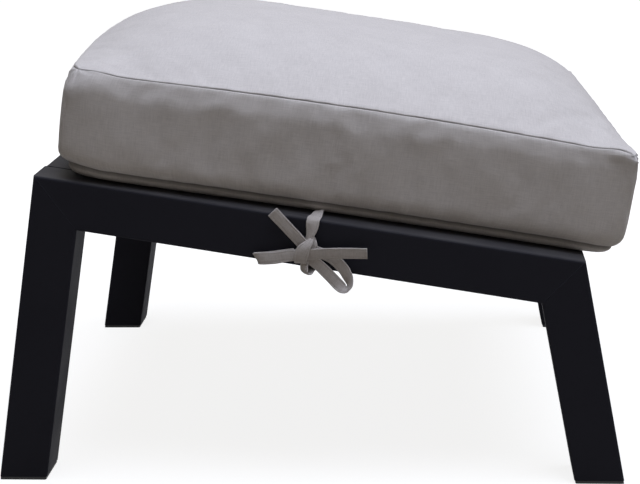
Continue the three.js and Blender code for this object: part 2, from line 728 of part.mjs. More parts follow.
// The origin is under the middle of the whole footstool, on the floor.
footstool.updateMatrixWorld(true);
const extent = new THREE.Box3().setFromObject(footstool, true);
const middle = extent.getCenter(new THREE.Vector3());
footstool.position.set(-middle.x, -middle.y, -extent.min.z);

export default footstool;
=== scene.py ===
"""Outdoor ottoman footstool: black square-tube frame, thick boxed cushion, and a bow on each side rail.

Metres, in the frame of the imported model. The deck has its own axes: u down the slope, v across it and n
square to it.
"""
import json
import math

import bmesh
import bpy
import numpy as np
from mathutils import Matrix, Vector, noise


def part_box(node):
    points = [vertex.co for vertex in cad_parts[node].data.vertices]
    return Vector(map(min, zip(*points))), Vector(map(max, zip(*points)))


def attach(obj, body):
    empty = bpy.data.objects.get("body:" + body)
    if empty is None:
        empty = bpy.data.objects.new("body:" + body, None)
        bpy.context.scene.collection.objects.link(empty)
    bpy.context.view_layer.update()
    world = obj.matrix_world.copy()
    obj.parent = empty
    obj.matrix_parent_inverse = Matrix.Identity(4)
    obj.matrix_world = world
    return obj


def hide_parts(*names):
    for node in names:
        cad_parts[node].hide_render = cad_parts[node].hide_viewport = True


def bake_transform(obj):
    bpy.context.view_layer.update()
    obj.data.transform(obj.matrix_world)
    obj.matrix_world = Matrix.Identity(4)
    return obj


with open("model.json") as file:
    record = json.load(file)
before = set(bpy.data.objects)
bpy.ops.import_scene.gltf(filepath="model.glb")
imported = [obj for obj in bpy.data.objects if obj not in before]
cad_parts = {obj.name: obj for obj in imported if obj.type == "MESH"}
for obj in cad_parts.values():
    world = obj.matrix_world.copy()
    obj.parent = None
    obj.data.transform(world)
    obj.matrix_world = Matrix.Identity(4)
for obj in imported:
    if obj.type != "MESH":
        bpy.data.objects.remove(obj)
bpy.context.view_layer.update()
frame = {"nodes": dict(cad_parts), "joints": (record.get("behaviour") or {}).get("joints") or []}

MM = 0.001
TINY = 1e-9
SQUARE_SIGNS = ((-1, -1), (1, -1), (1, 1), (-1, 1))


# Axes of the deck and the cushion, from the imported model

joints = {joint["name"]: joint for joint in frame["joints"]}
NORMAL = Vector(joints["cushion_lift"]["axis"]).normalized()
SLOPE = Vector((NORMAL.z, 0, -NORMAL.x))
ACROSS = Vector((0, 1, 0))
CUSHION_Y = Vector(joints["zip_slide"]["axis"]).normalized()
CUSHION_X = CUSHION_Y.cross(NORMAL)


def middle(node):
    low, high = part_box(node)
    return (low + high) / 2


SLAT_HALF = 2.5 * MM
DECK_MID = (middle("deck_slat_1") + middle("deck_slat_6")) / 2 + NORMAL * SLAT_HALF
HALF_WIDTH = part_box("far_side_rail")[1].y
TUBE = 50 * MM


def deck(u, v, n):
    """A point by its way down the slope from the deck's middle, across it, and above the rails' top."""
    return DECK_MID + SLOPE * u + ACROSS * v + NORMAL * n


# Camera, fitted to the frame's edges in the photograph

FOCAL_PX = 1519.8
IMAGE_WIDTH_PX = 640
SENSOR_MM = 36
CLIP_START = 10 * MM
CAMERA_FROM_FOOT = Vector((469.96, -1462.62, 644.86)) * MM
CAMERA_PITCH = 0.25724
CAMERA_ROLL = -0.02651
CAMERA_YAW = -0.08337
FOOT_SETBACK = 0.61 * MM


def make_camera():
    data = bpy.data.cameras.new("camera")
    data.sensor_width = SENSOR_MM
    data.lens = FOCAL_PX * SENSOR_MM / IMAGE_WIDTH_PX
    data.clip_start = CLIP_START
    camera = bpy.data.objects.new("camera", data)
    bpy.context.scene.collection.objects.link(camera)
    sin_yaw, cos_yaw = math.sin(CAMERA_YAW), math.cos(CAMERA_YAW)
    sin_pitch, cos_pitch = math.sin(CAMERA_PITCH), math.cos(CAMERA_PITCH)
    forward = Vector((sin_yaw * cos_pitch, cos_yaw * cos_pitch, -sin_pitch))
    level = Vector((cos_yaw, -sin_yaw, 0))
    upward = level.cross(forward)
    right = level * math.cos(CAMERA_ROLL) + upward * math.sin(CAMERA_ROLL)
    up = upward * math.cos(CAMERA_ROLL) - level * math.sin(CAMERA_ROLL)
    foot = Vector((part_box("near_leg_high")[0].x - FOOT_SETBACK, -HALF_WIDTH, 0))
    turn = Matrix((right, up, -forward)).transposed().to_4x4()
    camera.matrix_world = Matrix.Translation(foot + CAMERA_FROM_FOOT) @ turn
    bpy.context.scene.camera = camera


# Shader nodes

def put(tree, socket, value):
    """Links a socket to another node's output, or sets its value."""
    if isinstance(value, bpy.types.NodeSocket):
        tree.links.new(value, socket)
    else:
        socket.default_value = value


def add_node(tree, kind, output=0, **inputs):
    """One output of a new node with these inputs. A low line stands for a space in an input's name."""
    node = tree.nodes.new("ShaderNode" + kind)
    for name, value in inputs.items():
        put(tree, node.inputs[name.replace("_", " ")], value)
    return node.outputs[output]


# Floor, world and lamps

COOL_LIGHT = (0.92, 0.985, 1.14)
WARM_LIGHT = (1.0, 0.86, 0.67)
LAMP_TARGET = (0, 0, 0.3)
AMBIENT_STRENGTH = 0.09
WHITE = (1, 1, 1, 1)

# Each lamp: name, place, size, power in watts, and colour.
LAMPS = (
    ("overhead", (0.45, -0.24, 2.5), 1.9, 55.5, COOL_LIGHT),
    ("front_fill", (0.4, -2.4, 0.5), 1.6, 0.5, WARM_LIGHT),
    ("back_fill", (-0.8, 2.4, 1.6), 1.6, 3, WARM_LIGHT),
)

# The floor glows up to white away from the object. Its diffuse colours take the shadow and light the object.
FLOOR_HALF = 12
FLOOR_GLOW = {"From_Min": 0.45, "From_Max": 1.2, "To_Min": 0.86, "To_Max": 1}
FLOOR_SEEN = (0.34, 0.34, 0.34, 1)
FLOOR_BOUNCE = (0.43, 0.4, 0.35, 1)


def area_lamp(name, place, size, power, color):
    data = bpy.data.lights.new(name, "AREA")
    data.color = color
    data.shape = "SQUARE"
    data.size = size
    data.energy = power
    lamp = bpy.data.objects.new(name, data)
    lamp.location = place
    lamp.rotation_mode = "QUATERNION"
    lamp.rotation_quaternion = (Vector(LAMP_TARGET) - Vector(place)).to_track_quat("-Z", "Y")
    bpy.context.scene.collection.objects.link(lamp)


def empty_tree(owner):
    """The node tree of a material or world, with its nodes taken out."""
    owner.use_nodes = True
    owner.node_tree.nodes.clear()
    return owner.node_tree


def split_rays(tree, output, lighting, shown):
    """One shader lights the object, and another is what camera, glossy and transmission rays show."""
    is_shown = add_node(tree, "LightPath", "Is Camera Ray")
    for ray in ("Is Glossy Ray", "Is Transmission Ray"):
        either = tree.nodes.new("ShaderNodeMath")
        either.operation = "MAXIMUM"
        put(tree, either.inputs[0], is_shown)
        put(tree, either.inputs[1], add_node(tree, "LightPath", ray))
        is_shown = either.outputs[0]
    mix = tree.nodes.new("ShaderNodeMixShader")
    for socket, value in zip(mix.inputs, (is_shown, lighting, shown)):
        put(tree, socket, value)
    put(tree, tree.nodes.new(output).inputs["Surface"], mix.outputs[0])


def make_floor():
    mesh = bpy.data.meshes.new("floor")
    corners = [(x * FLOOR_HALF, y * FLOOR_HALF, 0) for x, y in SQUARE_SIGNS]
    mesh.from_pydata(corners, [], [(0, 1, 2, 3)])
    floor = bpy.data.objects.new("floor", mesh)
    bpy.context.scene.collection.objects.link(floor)
    material = bpy.data.materials.new("floor")
    tree = empty_tree(material)
    distance = tree.nodes.new("ShaderNodeVectorMath")
    distance.operation = "LENGTH"
    put(tree, distance.inputs[0], add_node(tree, "TexCoord", "Object"))
    fade = add_node(tree, "MapRange", Value=distance.outputs["Value"], **FLOOR_GLOW)
    glowing = tree.nodes.new("ShaderNodeAddShader")
    put(tree, glowing.inputs[0], add_node(tree, "Emission", Strength=fade))
    put(tree, glowing.inputs[1], add_node(tree, "BsdfDiffuse", Color=FLOOR_SEEN))
    bounce = add_node(tree, "BsdfDiffuse", Color=FLOOR_BOUNCE)
    split_rays(tree, "ShaderNodeOutputMaterial", bounce, glowing.outputs[0])
    mesh.materials.append(material)


def make_world():
    world = bpy.data.worlds.new("studio")
    bpy.context.scene.world = world
    tree = empty_tree(world)
    ambient = add_node(tree, "Background", Color=(*WARM_LIGHT, 1), Strength=AMBIENT_STRENGTH)
    white = add_node(tree, "Background", Color=WHITE, Strength=1)
    split_rays(tree, "ShaderNodeOutputWorld", ambient, white)


def make_lights():
    for lamp in LAMPS:
        area_lamp(*lamp)


# Material helpers

class Nodes:
    """A short way to write a material's nodes."""

    def __init__(self, name, **values):
        self.material = bpy.data.materials.new(name)
        self.material.use_nodes = True
        self.tree = self.material.node_tree
        self.shader = self.tree.nodes["Principled BSDF"]
        for key, value in values.items():
            self.shader.inputs[key.replace("_", " ")].default_value = value

    def node(self, kind, output=0, **inputs):
        return add_node(self.tree, kind, output, **inputs)

    def math(self, operation, a, b=0, c=0, clamp=False):
        node = self.tree.nodes.new("ShaderNodeMath")
        node.operation = operation
        node.use_clamp = clamp
        for socket, value in zip(node.inputs, (a, b, c)):
            put(self.tree, socket, value)
        return node.outputs[0]

    def attribute(self, name, output="Vector"):
        node = self.tree.nodes.new("ShaderNodeAttribute")
        node.attribute_name = name
        return node.outputs[output]

    def place(self):
        return self.node("TexCoord", "Object")

    def noise(self, vector, scale, detail=2, roughness=0.5, stretch=None):
        if stretch:
            vector = self.node("Mapping", Vector=vector, Scale=stretch)
        return self.node("TexNoise", "Fac", Vector=vector, Scale=scale, Detail=detail, Roughness=roughness)

    def specks(self, vector, scale, size):
        return self.spread(self.node("TexVoronoi", "Distance", Vector=vector, Scale=scale), size, 0)

    def spread(self, value, low, high, to_low=0, to_high=1):
        return self.node("MapRange", Value=value, From_Min=low, From_Max=high, To_Min=to_low, To_Max=to_high)

    def blend(self, share, a, b):
        node = self.tree.nodes.new("ShaderNodeMix")
        node.data_type = "RGBA"
        for name, value in (("Factor", share), ("A", a), ("B", b)):
            put(self.tree, node.inputs[name], value)
        return node.outputs["Result"]

    def bump(self, height, distance, strength=1, under=None):
        below = {} if under is None else {"Normal": under}
        return self.node("Bump", Height=height, Distance=distance, Strength=strength, **below)

    def split(self, vector):
        return [self.node("SeparateXYZ", axis, Vector=vector) for axis in "XY"]

    def finish(self, color, normal, roughness=None):
        for name, value in (("Base Color", color), ("Normal", normal), ("Roughness", roughness)):
            if value is not None:
                put(self.tree, self.shader.inputs[name], value)
        return self.material


# Colours, linear: red, green, blue and alpha

COVER_LIGHT = (0.8, 0.755, 0.735, 1)
COVER_DARK = (0.46, 0.428, 0.415, 1)
TIE_LIGHT = (0.66, 0.61, 0.59, 1)
TIE_DARK = (0.36, 0.33, 0.31, 1)
LINT = (0.2, 0.17, 0.16, 1)
# Painted shade for the seams' grooves, partly the seam thread's own darker colour
SEAM_PAINTED_SHADE = (0.12, 0.11, 0.105, 1)
PAINT_DARK = (0.017, 0.017, 0.0225, 1)
PAINT_LIGHT = (0.03, 0.03, 0.04, 1)
# Dust, and a painted sheen of the overhead light, on what faces up
DUST_AND_PAINTED_SHEEN = (0.2, 0.19, 0.18, 1)
PLASTIC_DARK = (0.012, 0.012, 0.013, 1)
PLASTIC_SCUFFED = (0.06, 0.058, 0.055, 1)
METAL_DARK = (0.16, 0.16, 0.165, 1)
METAL_RUBBED = (0.36, 0.36, 0.37, 1)
TEETH_DARK = (0.1, 0.092, 0.088, 1)
TEETH_WORN = (0.17, 0.16, 0.152, 1)
TAPE_DARK = (0.34, 0.32, 0.31, 1)
TAPE_LIGHT = (0.48, 0.455, 0.44, 1)
THREAD_DARK = (0.3, 0.285, 0.275, 1)
THREAD_LIGHT = (0.52, 0.5, 0.485, 1)


# Materials: threads, ribs and bumps are real sizes, and noise scales are waves per metre

COVER_PITCH = 0.62 * MM
COVER_BUMP = 0.12 * MM
TIE_PITCH = 0.55 * MM
TIE_BUMP = 0.1 * MM
THREAD_WANDER = 0.3 * MM
THREAD_DIP = 0.45
THREAD_TONE = 0.28
SLUB_TONE = 0.55
MOTTLE_TONE = 0.35
TONE_SHIFT = -0.28
FINE_BUMP_SHARE = 0.7
LINT_SHARE = 0.4
SEAM_PAINTED_SHADE_SHARE = 0.8
PEEL_BUMP = 0.03 * MM
PAINT_BUMP = 0.05 * MM
SCUFF_SHARE = 0.5
PLASTIC_BUMP = 0.06 * MM
METAL_BUMP = 0.02 * MM
TEETH_BUMP = 0.03 * MM
TAPE_BUMP = 0.15 * MM
HERRINGBONE_WIDTH = 2.4 * MM
HERRINGBONE_PITCH = 0.9 * MM
THREAD_BUMP = 0.05 * MM
TWIST_SCALE = 700


def weave_height(m, along, across, pitch):
    """Height of a plain weave: warp and weft threads that pass over each other in turn."""
    x = m.math("DIVIDE", along, pitch)
    y = m.math("DIVIDE", across, pitch)
    warp = m.math("ABSOLUTE", m.math("SINE", m.math("MULTIPLY", x, math.pi)))
    weft = m.math("ABSOLUTE", m.math("SINE", m.math("MULTIPLY", y, math.pi)))
    cells = m.math("ADD", m.math("FLOOR", x), m.math("FLOOR", y))
    over = m.math("ABSOLUTE", m.math("MODULO", cells, 2))
    up = m.math("MULTIPLY", warp, m.math("MULTIPLY_ADD", weft, THREAD_DIP, 1 - THREAD_DIP))
    down = m.math("MULTIPLY", weft, m.math("MULTIPLY_ADD", warp, THREAD_DIP, 1 - THREAD_DIP))
    mixed = m.math("MULTIPLY", up, over)
    rest = m.math("MULTIPLY", down, m.math("SUBTRACT", 1, over))
    return m.math("ADD", mixed, rest)


def cloth_material(name, light, dark, pitch, bump):
    """Solution-dyed plain weave: threads with slubs, soft mottling and a few lint specks."""
    m = Nodes(name, Roughness=0.92, Sheen_Weight=0.18, Sheen_Roughness=0.5, Specular_IOR_Level=0.2)
    at = m.attribute("weave")
    along, across = m.split(at)
    wander = m.spread(m.noise(at, scale=60), low=0, high=1, to_low=-THREAD_WANDER, to_high=THREAD_WANDER)
    threads = weave_height(m, m.math("ADD", along, wander), m.math("ADD", across, wander), pitch)
    warp_slubs = m.noise(at, scale=900, detail=2, roughness=0.6, stretch=(1, 0.08, 1))
    weft_slubs = m.noise(at, scale=900, detail=2, roughness=0.6, stretch=(0.08, 1, 1))
    slubs = m.math("ADD", warp_slubs, weft_slubs)
    mottle = m.noise(at, scale=22, detail=3, roughness=0.55)
    tone = m.math("MULTIPLY_ADD", mottle, MOTTLE_TONE, TONE_SHIFT)
    tone = m.math("MULTIPLY_ADD", slubs, SLUB_TONE, tone)
    tone = m.math("MULTIPLY_ADD", threads, THREAD_TONE, tone, clamp=True)
    color = m.blend(tone, dark, light)
    patches = m.spread(m.noise(at, scale=9), low=0.5, high=0.62)
    lint = m.math("MULTIPLY", m.specks(at, scale=45, size=0.022), patches)
    color = m.blend(m.math("MULTIPLY", lint, LINT_SHARE), color, LINT)
    # The seams' thin dark line: painted shade in their grooves, partly their darker thread
    seam = m.attribute("seam", "Fac")
    color = m.blend(m.math("MULTIPLY", seam, SEAM_PAINTED_SHADE_SHARE), color, SEAM_PAINTED_SHADE)
    fine = m.bump(slubs, bump * FINE_BUMP_SHARE)
    roughness = m.spread(slubs, low=0.6, high=1.4, to_low=0.86, to_high=0.98)
    return m.finish(color, m.bump(threads, bump, under=fine), roughness)


def paint_material():
    """Fine matt powder coat: a shallow orange peel, and on what faces up a little dust and a painted sheen of
    the light from above.
    """
    m = Nodes("powder_coat", Specular_IOR_Level=0.035)
    at = m.place()
    peel = m.noise(at, scale=1400, detail=3, roughness=0.6)
    broad = m.noise(at, scale=190, detail=2, roughness=0.5)
    cloudy = m.noise(at, scale=14, detail=3, roughness=0.6)
    up = m.node("SeparateXYZ", "Z", Vector=m.node("NewGeometry", "Normal"))
    # What faces up is painted lighter: a little dust, and a painted sheen of the light from above
    faces_up = m.spread(up, low=0.5, high=1)
    dust_and_sheen = m.math("MULTIPLY", faces_up, m.spread(cloudy, low=0.4, high=0.75, to_low=0.14, to_high=0.28))
    color = m.blend(peel, PAINT_DARK, PAINT_LIGHT)
    color = m.blend(dust_and_sheen, color, DUST_AND_PAINTED_SHEEN)
    normal = m.bump(broad, PAINT_BUMP, strength=0.7, under=m.bump(peel, PEEL_BUMP, strength=0.8))
    return m.finish(color, normal, m.spread(cloudy, low=0.3, high=0.7, to_low=0.56, to_high=0.68))


def plastic_material():
    """Moulded glide: fine texture with scuffs where it meets the ground."""
    m = Nodes("glide_plastic", Specular_IOR_Level=0.35)
    at = m.place()
    grain = m.noise(at, scale=1800, detail=2, roughness=0.6)
    streaks = m.noise(at, scale=130, detail=4, roughness=0.7, stretch=(1, 0.15, 1))
    scuffs = m.spread(streaks, low=0.55, high=0.75)
    color = m.blend(m.math("MULTIPLY", scuffs, SCUFF_SHARE), PLASTIC_DARK, PLASTIC_SCUFFED)
    roughness = m.spread(scuffs, low=0, high=1, to_low=0.5, to_high=0.75)
    return m.finish(color, m.bump(grain, PLASTIC_BUMP), roughness)


def metal_material():
    """Painted zinc of the zip's slider and pull, rubbed brighter in places."""
    m = Nodes("zip_metal", Metallic=0.85)
    at = m.place()
    rub = m.spread(m.noise(at, scale=420, detail=3, roughness=0.6), low=0.45, high=0.7)
    brushed = m.noise(at, scale=2600, detail=2, roughness=0.5, stretch=(1, 0.1, 1))
    color = m.blend(rub, METAL_DARK, METAL_RUBBED)
    roughness = m.spread(rub, low=0, high=1, to_low=0.42, to_high=0.28)
    return m.finish(color, m.bump(brushed, METAL_BUMP), roughness)


def teeth_material():
    """Moulded zip teeth, a little worn on their heads."""
    m = Nodes("zip_teeth", Specular_IOR_Level=0.45)
    at = m.place()
    worn = m.spread(m.noise(at, scale=260, detail=3, roughness=0.6), low=0.45, high=0.7)
    grain = m.noise(at, scale=2400, detail=2, roughness=0.6)
    color = m.blend(worn, TEETH_DARK, TEETH_WORN)
    return m.finish(color, m.bump(grain, TEETH_BUMP), m.spread(worn, low=0, high=1, to_low=0.5, to_high=0.36))


def tape_material():
    """Herringbone zip tape."""
    m = Nodes("zip_tape", Roughness=0.85, Sheen_Weight=0.1)
    along, across = m.split(m.attribute("weave"))
    ribs = m.math("PINGPONG", across, HERRINGBONE_WIDTH)
    turns = m.math("MULTIPLY", m.math("ADD", along, ribs), 2 * math.pi / HERRINGBONE_PITCH)
    tone = m.spread(m.math("SINE", turns), low=-1, high=1)
    return m.finish(m.blend(tone, TAPE_DARK, TAPE_LIGHT), m.bump(tone, TAPE_BUMP))


def thread_material():
    """Twisted polyester sewing thread."""
    m = Nodes("thread", Roughness=0.6, Sheen_Weight=0.1)
    strands = m.node("TexWave", "Fac", Vector=m.place(), Scale=TWIST_SCALE)
    return m.finish(m.blend(strands, THREAD_DARK, THREAD_LIGHT), m.bump(strands, THREAD_BUMP))


# Meshes

SPLINE_STEPS = 24


def add_piece(name, points, faces, material, smooth=True):
    mesh = bpy.data.meshes.new(name)
    mesh.from_pydata([tuple(p) for p in points], [], faces)
    mesh.materials.append(material)
    mesh.polygons.foreach_set("use_smooth", [smooth] * len(mesh.polygons))
    mesh.update()
    piece = bpy.data.objects.new(name, mesh)
    bpy.context.scene.collection.objects.link(piece)
    return piece


def add_solid(name, points, faces, material, smooth=True):
    """A closed piece whose faces are all turned outwards."""
    piece = add_piece(name, points, faces, material, smooth)
    mesh = bmesh.new()
    mesh.from_mesh(piece.data)
    bmesh.ops.recalc_face_normals(mesh, faces=mesh.faces)
    mesh.to_mesh(piece.data)
    mesh.free()
    return piece


def join_rings(faces, first, size, count, closed=False):
    """Joins rings of points, which follow each other from the first point on. Open rows get end caps."""
    for i in range(count if closed else count - 1):
        low, high = first + i * size, first + (i + 1) % count * size
        for k in range(size):
            j = (k + 1) % size
            faces.append((low + k, low + j, high + j, high + k))
    if not closed:
        last = first + (count - 1) * size
        faces.append(tuple(range(first, first + size))[::-1])
        faces.append(tuple(range(last, last + size)))


def put_attribute(piece, name, values, kind="FLOAT_VECTOR"):
    attribute = piece.data.attributes.new(name, kind, "POINT")
    field = "vector" if kind == "FLOAT_VECTOR" else "value"
    attribute.data.foreach_set(field, np.asarray(values, np.float32).ravel())


def spline(points, count):
    """A smooth curve through points, read at `count` places evenly apart along it."""
    points = np.asarray(points, float)
    padded = np.vstack([2 * points[0] - points[1], points, 2 * points[-1] - points[-2]])
    dense = []
    for i in range(1, len(padded) - 2):
        p0, p1, p2, p3 = padded[i - 1:i + 3]
        for t in np.arange(SPLINE_STEPS) / SPLINE_STEPS:
            dense.append(0.5 * (2 * p1 + (p2 - p0) * t + (2 * p0 - 5 * p1 + 4 * p2 - p3) * t * t
                                + (3 * p1 - p0 - 3 * p2 + p3) * t ** 3))
    dense.append(padded[-2])
    dense = np.array(dense)
    length = np.concatenate([[0], np.cumsum(np.linalg.norm(np.diff(dense[:, :3], axis=0), axis=1))])
    at = np.linspace(0, length[-1], count)
    return np.stack([np.interp(at, length, column) for column in dense.T], 1), at


def unit(vectors):
    return vectors / np.linalg.norm(vectors, axis=-1, keepdims=True)


# Cushion: shares x and y run from -1 to 1 across it, as in the model's source. Level runs up the boxing.

CUSHION_SHIFT = 18.13 * MM
CUSHION_LENGTH = 563 * MM
CUSHION_WIDTH = 540 * MM
LOWER_SEAM = 12.7 * MM
BOXING = 96 * MM
SEAM_LIFT = 5 * MM
CROWN = 47 * MM
CROWN_NEAR_POWER = 3
CROWN_FAR_POWER = 3.9
CROWN_HIGH_END_POWER = 4
CROWN_LOW_END_POWER = 6
CROWN_FALL = 0.06
SIDE_DRAW = 7 * MM
LOW_END_DRAW = 5 * MM
HIGH_END_SWELL = 11.5 * MM
SIDE_BULGE = 6.4 * MM
SIDE_BULGE_FALL = 0.32
HIGH_END_BULGE = 6.7 * MM
LOW_END_BULGE = 7.5 * MM
LOWER_SHOULDER = 0.14
UPPER_SHOULDER = 0.28
SHOULDER_POWER = 1.4
REST_GAP = 0.3 * MM
UNDERSIDE_ROLL = 20 * MM
CORNER_REACH = 34 * MM
LEVEL_SHARES = (0, 0.3, 0.8, 1)
ROUNDNESS = (20, 26, 26, 26)

# The sides' upper shoulder: its share of the boxing, its waves' heights, turns and starts, and its fall.
SIDE_SHOULDER = 0.215
SHOULDER_WAVES = ((0.1, 9, 1), (0.07, 17, 0.5), (0.05, 31, 0))
SHOULDER_FALL = 0.3

# Each corner: how far it goes outwards at its lower seam, in the middle and at its upper seam, then the
# lift of its lower seam and of its upper seam.
CORNERS = {
    (1, -1): (6 * MM, 7 * MM, 12 * MM, -1.2 * MM, -1.8 * MM),
    (1, 1): (-2 * MM, 6 * MM, 4.6 * MM, 4 * MM, 0),
    (-1, -1): (-1 * MM, 2.7 * MM, -0.3 * MM, 3 * MM, 2.6 * MM),
    (-1, 1): (-2 * MM, 4 * MM, 0, 4 * MM, -1 * MM),
}

# The near side's upper seam rises before each corner and falls to its point: place, reach and lift.
EARS = ((0.935, 0.06, 4.4 * MM), (-0.92, 0.075, 2.6 * MM))
EAR_POWER = 4

# Folds round the upper corners, the near low corner's lip below its seam, and the near high corner's dimple
FOLD_HEIGHT = 1.3 * MM
FOLD_REACH = 22 * MM
FOLD_START = 3.5 * MM
FOLD_COUNT = 9
LIP_START = 0.86
LIP_HEIGHT = 2.4 * MM
LIP_BELOW = 6.5 * MM
LIP_REACH = 2.6 * MM
DIMPLE_CORNER = (-1, -1)
DIMPLE_BELOW = 13 * MM
DIMPLE_REACH = 6.5 * MM
DIMPLE_DEPTH = 1.5 * MM

# The zip's opening, and the lines of the grid beside it and beside the seams
ZIP_HEIGHT = LOWER_SEAM + (BOXING + SEAM_LIFT) / 2
ZIP_LENGTH = 440 * MM
ZIP_OPENING = 10 * MM
ZIP_RECESS = 5.6 * MM
ZIP_EDGE = 0.5 * MM
ZIP_END_SLOPE = 4 * MM
ZIP_LINE_OFFS = (-1 * MM, -0.3 * MM, 0.2 * MM, 0.9 * MM, 2.4 * MM)
SEAM_LINES = (0.5 * MM, 1.1 * MM, 1.8 * MM, 2.8 * MM, 4.2 * MM, 6.5 * MM, 10 * MM, 15 * MM)
LINE_PITCH = 5.5 * MM
LEVEL_PITCH = 4.5 * MM
LINE_CLEARANCE = 1.5 * MM

# Cloth simulation
SIM_CELLS = 68
SIM_LEVELS = 14
SIM_FRAMES = 20
SIM_HOLD = 1 * MM
SIM_SETTINGS = {
    "quality": 6,
    "mass": 0.3,
    "tension_stiffness": 14,
    "compression_stiffness": 14,
    "shear_stiffness": 6,
    "bending_stiffness": 0.35,
    "shrink_min": -0.022,
    "use_pressure": True,
    "uniform_pressure_force": 4,
}
WRINKLE_CAP = 5 * MM
BLUR_CELLS = 7
TOP_WRINKLES = 0.6
UNDERSIDE_WRINKLES = 0.2
BOXING_WRINKLES = 0.35
EDGE_EASE = 1e-6

# Seams and unevenness of the cover. Each unevenness: waves per metre, seed and height.
GROOVE_DEPTH = 1 * MM
GROOVE_DEEPER_AT_TOP = 0.9 * MM
GROOVE_REACH = 0.65 * MM
ROLL_HEIGHT = 0.4 * MM
ROLL_FROM_SEAM = 4.5 * MM
ROLL_REACH = 3 * MM
# How far the painted shade beside each seam reaches
SEAM_PAINTED_SHADE_REACH = 0.7 * MM
TRIAL_WAVES = (40, 9, 0.4 * MM)
BROAD_WAVES = (9, 1, 1.1 * MM)
MEDIUM_WAVES = (28, 2, 0.35 * MM)
PUCKERS = (85, 3, 0.7 * MM)
PUCKER_REACH = 12 * MM
CALM_FROM_SEAM = 6 * MM
UNDERSIDE_CALM = 0.2
ZIP_CALM = 0.7
ZIP_CALM_REACH = 16 * MM
SEED_STEPS = (13.7, 7.1, 3.3)


def bell(distance, reach):
    """1 where the distance is 0, fading to 0 past the reach."""
    return np.exp(-(distance / reach) ** 2)


def corner_share(x, y, corner):
    """1 at a corner, fading to 0 past the corner's reach."""
    along = (1 - x * corner[0]) * CUSHION_LENGTH / 2
    across = (1 - y * corner[1]) * CUSHION_WIDTH / 2
    return bell(np.hypot(along, across), CORNER_REACH)


def shoulder_share(level):
    """How far a level is into the upper shoulder, where the boxing curves in to its upper seam."""
    return np.maximum(0, level + UPPER_SHOULDER - 1) / UPPER_SHOULDER


def bulge_share(level, shoulder=UPPER_SHOULDER):
    """How much of its bulge the boxing has at a level: all of it between the two rounded shoulders."""
    below = np.maximum(0, LOWER_SHOULDER - level) / LOWER_SHOULDER
    above = np.maximum(0, level + shoulder - 1) / shoulder
    return 1 - below ** 2 - above ** SHOULDER_POWER


def side_shoulder(x):
    """The sides' upper shoulder: its lower edge is wavy, and it fades towards the low end."""
    waves = sum(height * np.sin(turns * x + start) for height, turns, start in SHOULDER_WAVES)
    return SIDE_SHOULDER * (1 + waves) * (1 - SHOULDER_FALL * np.clip(x, 0, 1) ** 2)


def outline(x, y, level):
    """Where the outline is at a level, for shares x and y; shares inside it go with it."""
    reach = np.maximum(np.maximum(np.abs(x), np.abs(y)), TINY)
    power = np.interp(level, LEVEL_SHARES, ROUNDNESS)
    round_off = np.abs(x / reach) ** power + np.abs(y / reach) ** power
    rounding = np.maximum(round_off, 1) ** (-1 / power)
    bulge = bulge_share(level)
    end_bulge = np.where(x > 0, LOW_END_BULGE, HIGH_END_BULGE)
    end_draw = np.where(x > 0, LOW_END_DRAW, -HIGH_END_SWELL * shoulder_share(level))
    half_length = CUSHION_LENGTH / 2 + end_bulge * bulge - end_draw * (1 - y ** 2)
    side_bulge = SIDE_BULGE * (1 - SIDE_BULGE_FALL * x) * bulge_share(level, side_shoulder(x))
    half_width = CUSHION_WIDTH / 2 + side_bulge - SIDE_DRAW * (1 - x ** 2)
    across, along = y * rounding * half_width, x * rounding * half_length
    for corner, (low, middle_out, high, _, _) in CORNERS.items():
        out = (1 - bulge) * (low * (1 - level) + high * level) + bulge * middle_out
        out = out * corner_share(x, y, corner) / math.sqrt(2)
        along, across = along + corner[0] * out, across + corner[1] * out
    return along, across


def lower_seam(x, y):
    height = LOWER_SEAM + 0 * x
    for corner, (_, _, _, lift, _) in CORNERS.items():
        height = height + lift * corner_share(x, y, corner)
    return height


def upper_seam(x, y):
    height = LOWER_SEAM + BOXING + SEAM_LIFT * (1 - (x * y) ** 2)
    for corner, (_, _, _, _, lift) in CORNERS.items():
        height = height + lift * corner_share(x, y, corner)
    for place, reach, lift in EARS:
        height = height + lift * bell(x - place, reach) * np.clip(-y, 0, 1) ** EAR_POWER
    return height


def top_height(x, y):
    end_power = np.where(x > 0, CROWN_LOW_END_POWER, CROWN_HIGH_END_POWER)
    side_power = np.where(y > 0, CROWN_FAR_POWER, CROWN_NEAR_POWER)
    dome = (1 - np.abs(x) ** end_power) * (1 - np.abs(y) ** side_power)
    return upper_seam(x, y) + CROWN * dome * (1 - CROWN_FALL * x)


def from_edge(x, y):
    return np.minimum((1 - np.abs(x)) * CUSHION_LENGTH, (1 - np.abs(y)) * CUSHION_WIDTH) / 2


def underside_height(x, y):
    arc = np.sqrt(1 - (1 - np.minimum(from_edge(x, y) / UNDERSIDE_ROLL, 1)) ** 2)
    return REST_GAP + (lower_seam(x, y) - REST_GAP) * (1 - arc)


def ring_shares(lines):
    """Shares of the outline once round: near side, low end, far side, high end."""
    ahead, back = lines[:-1], lines[::-1][:-1]
    ones = np.ones(len(lines) - 1)
    return np.concatenate([ahead, ones, back, -ones]), np.concatenate([-ones, ahead, ones, back])


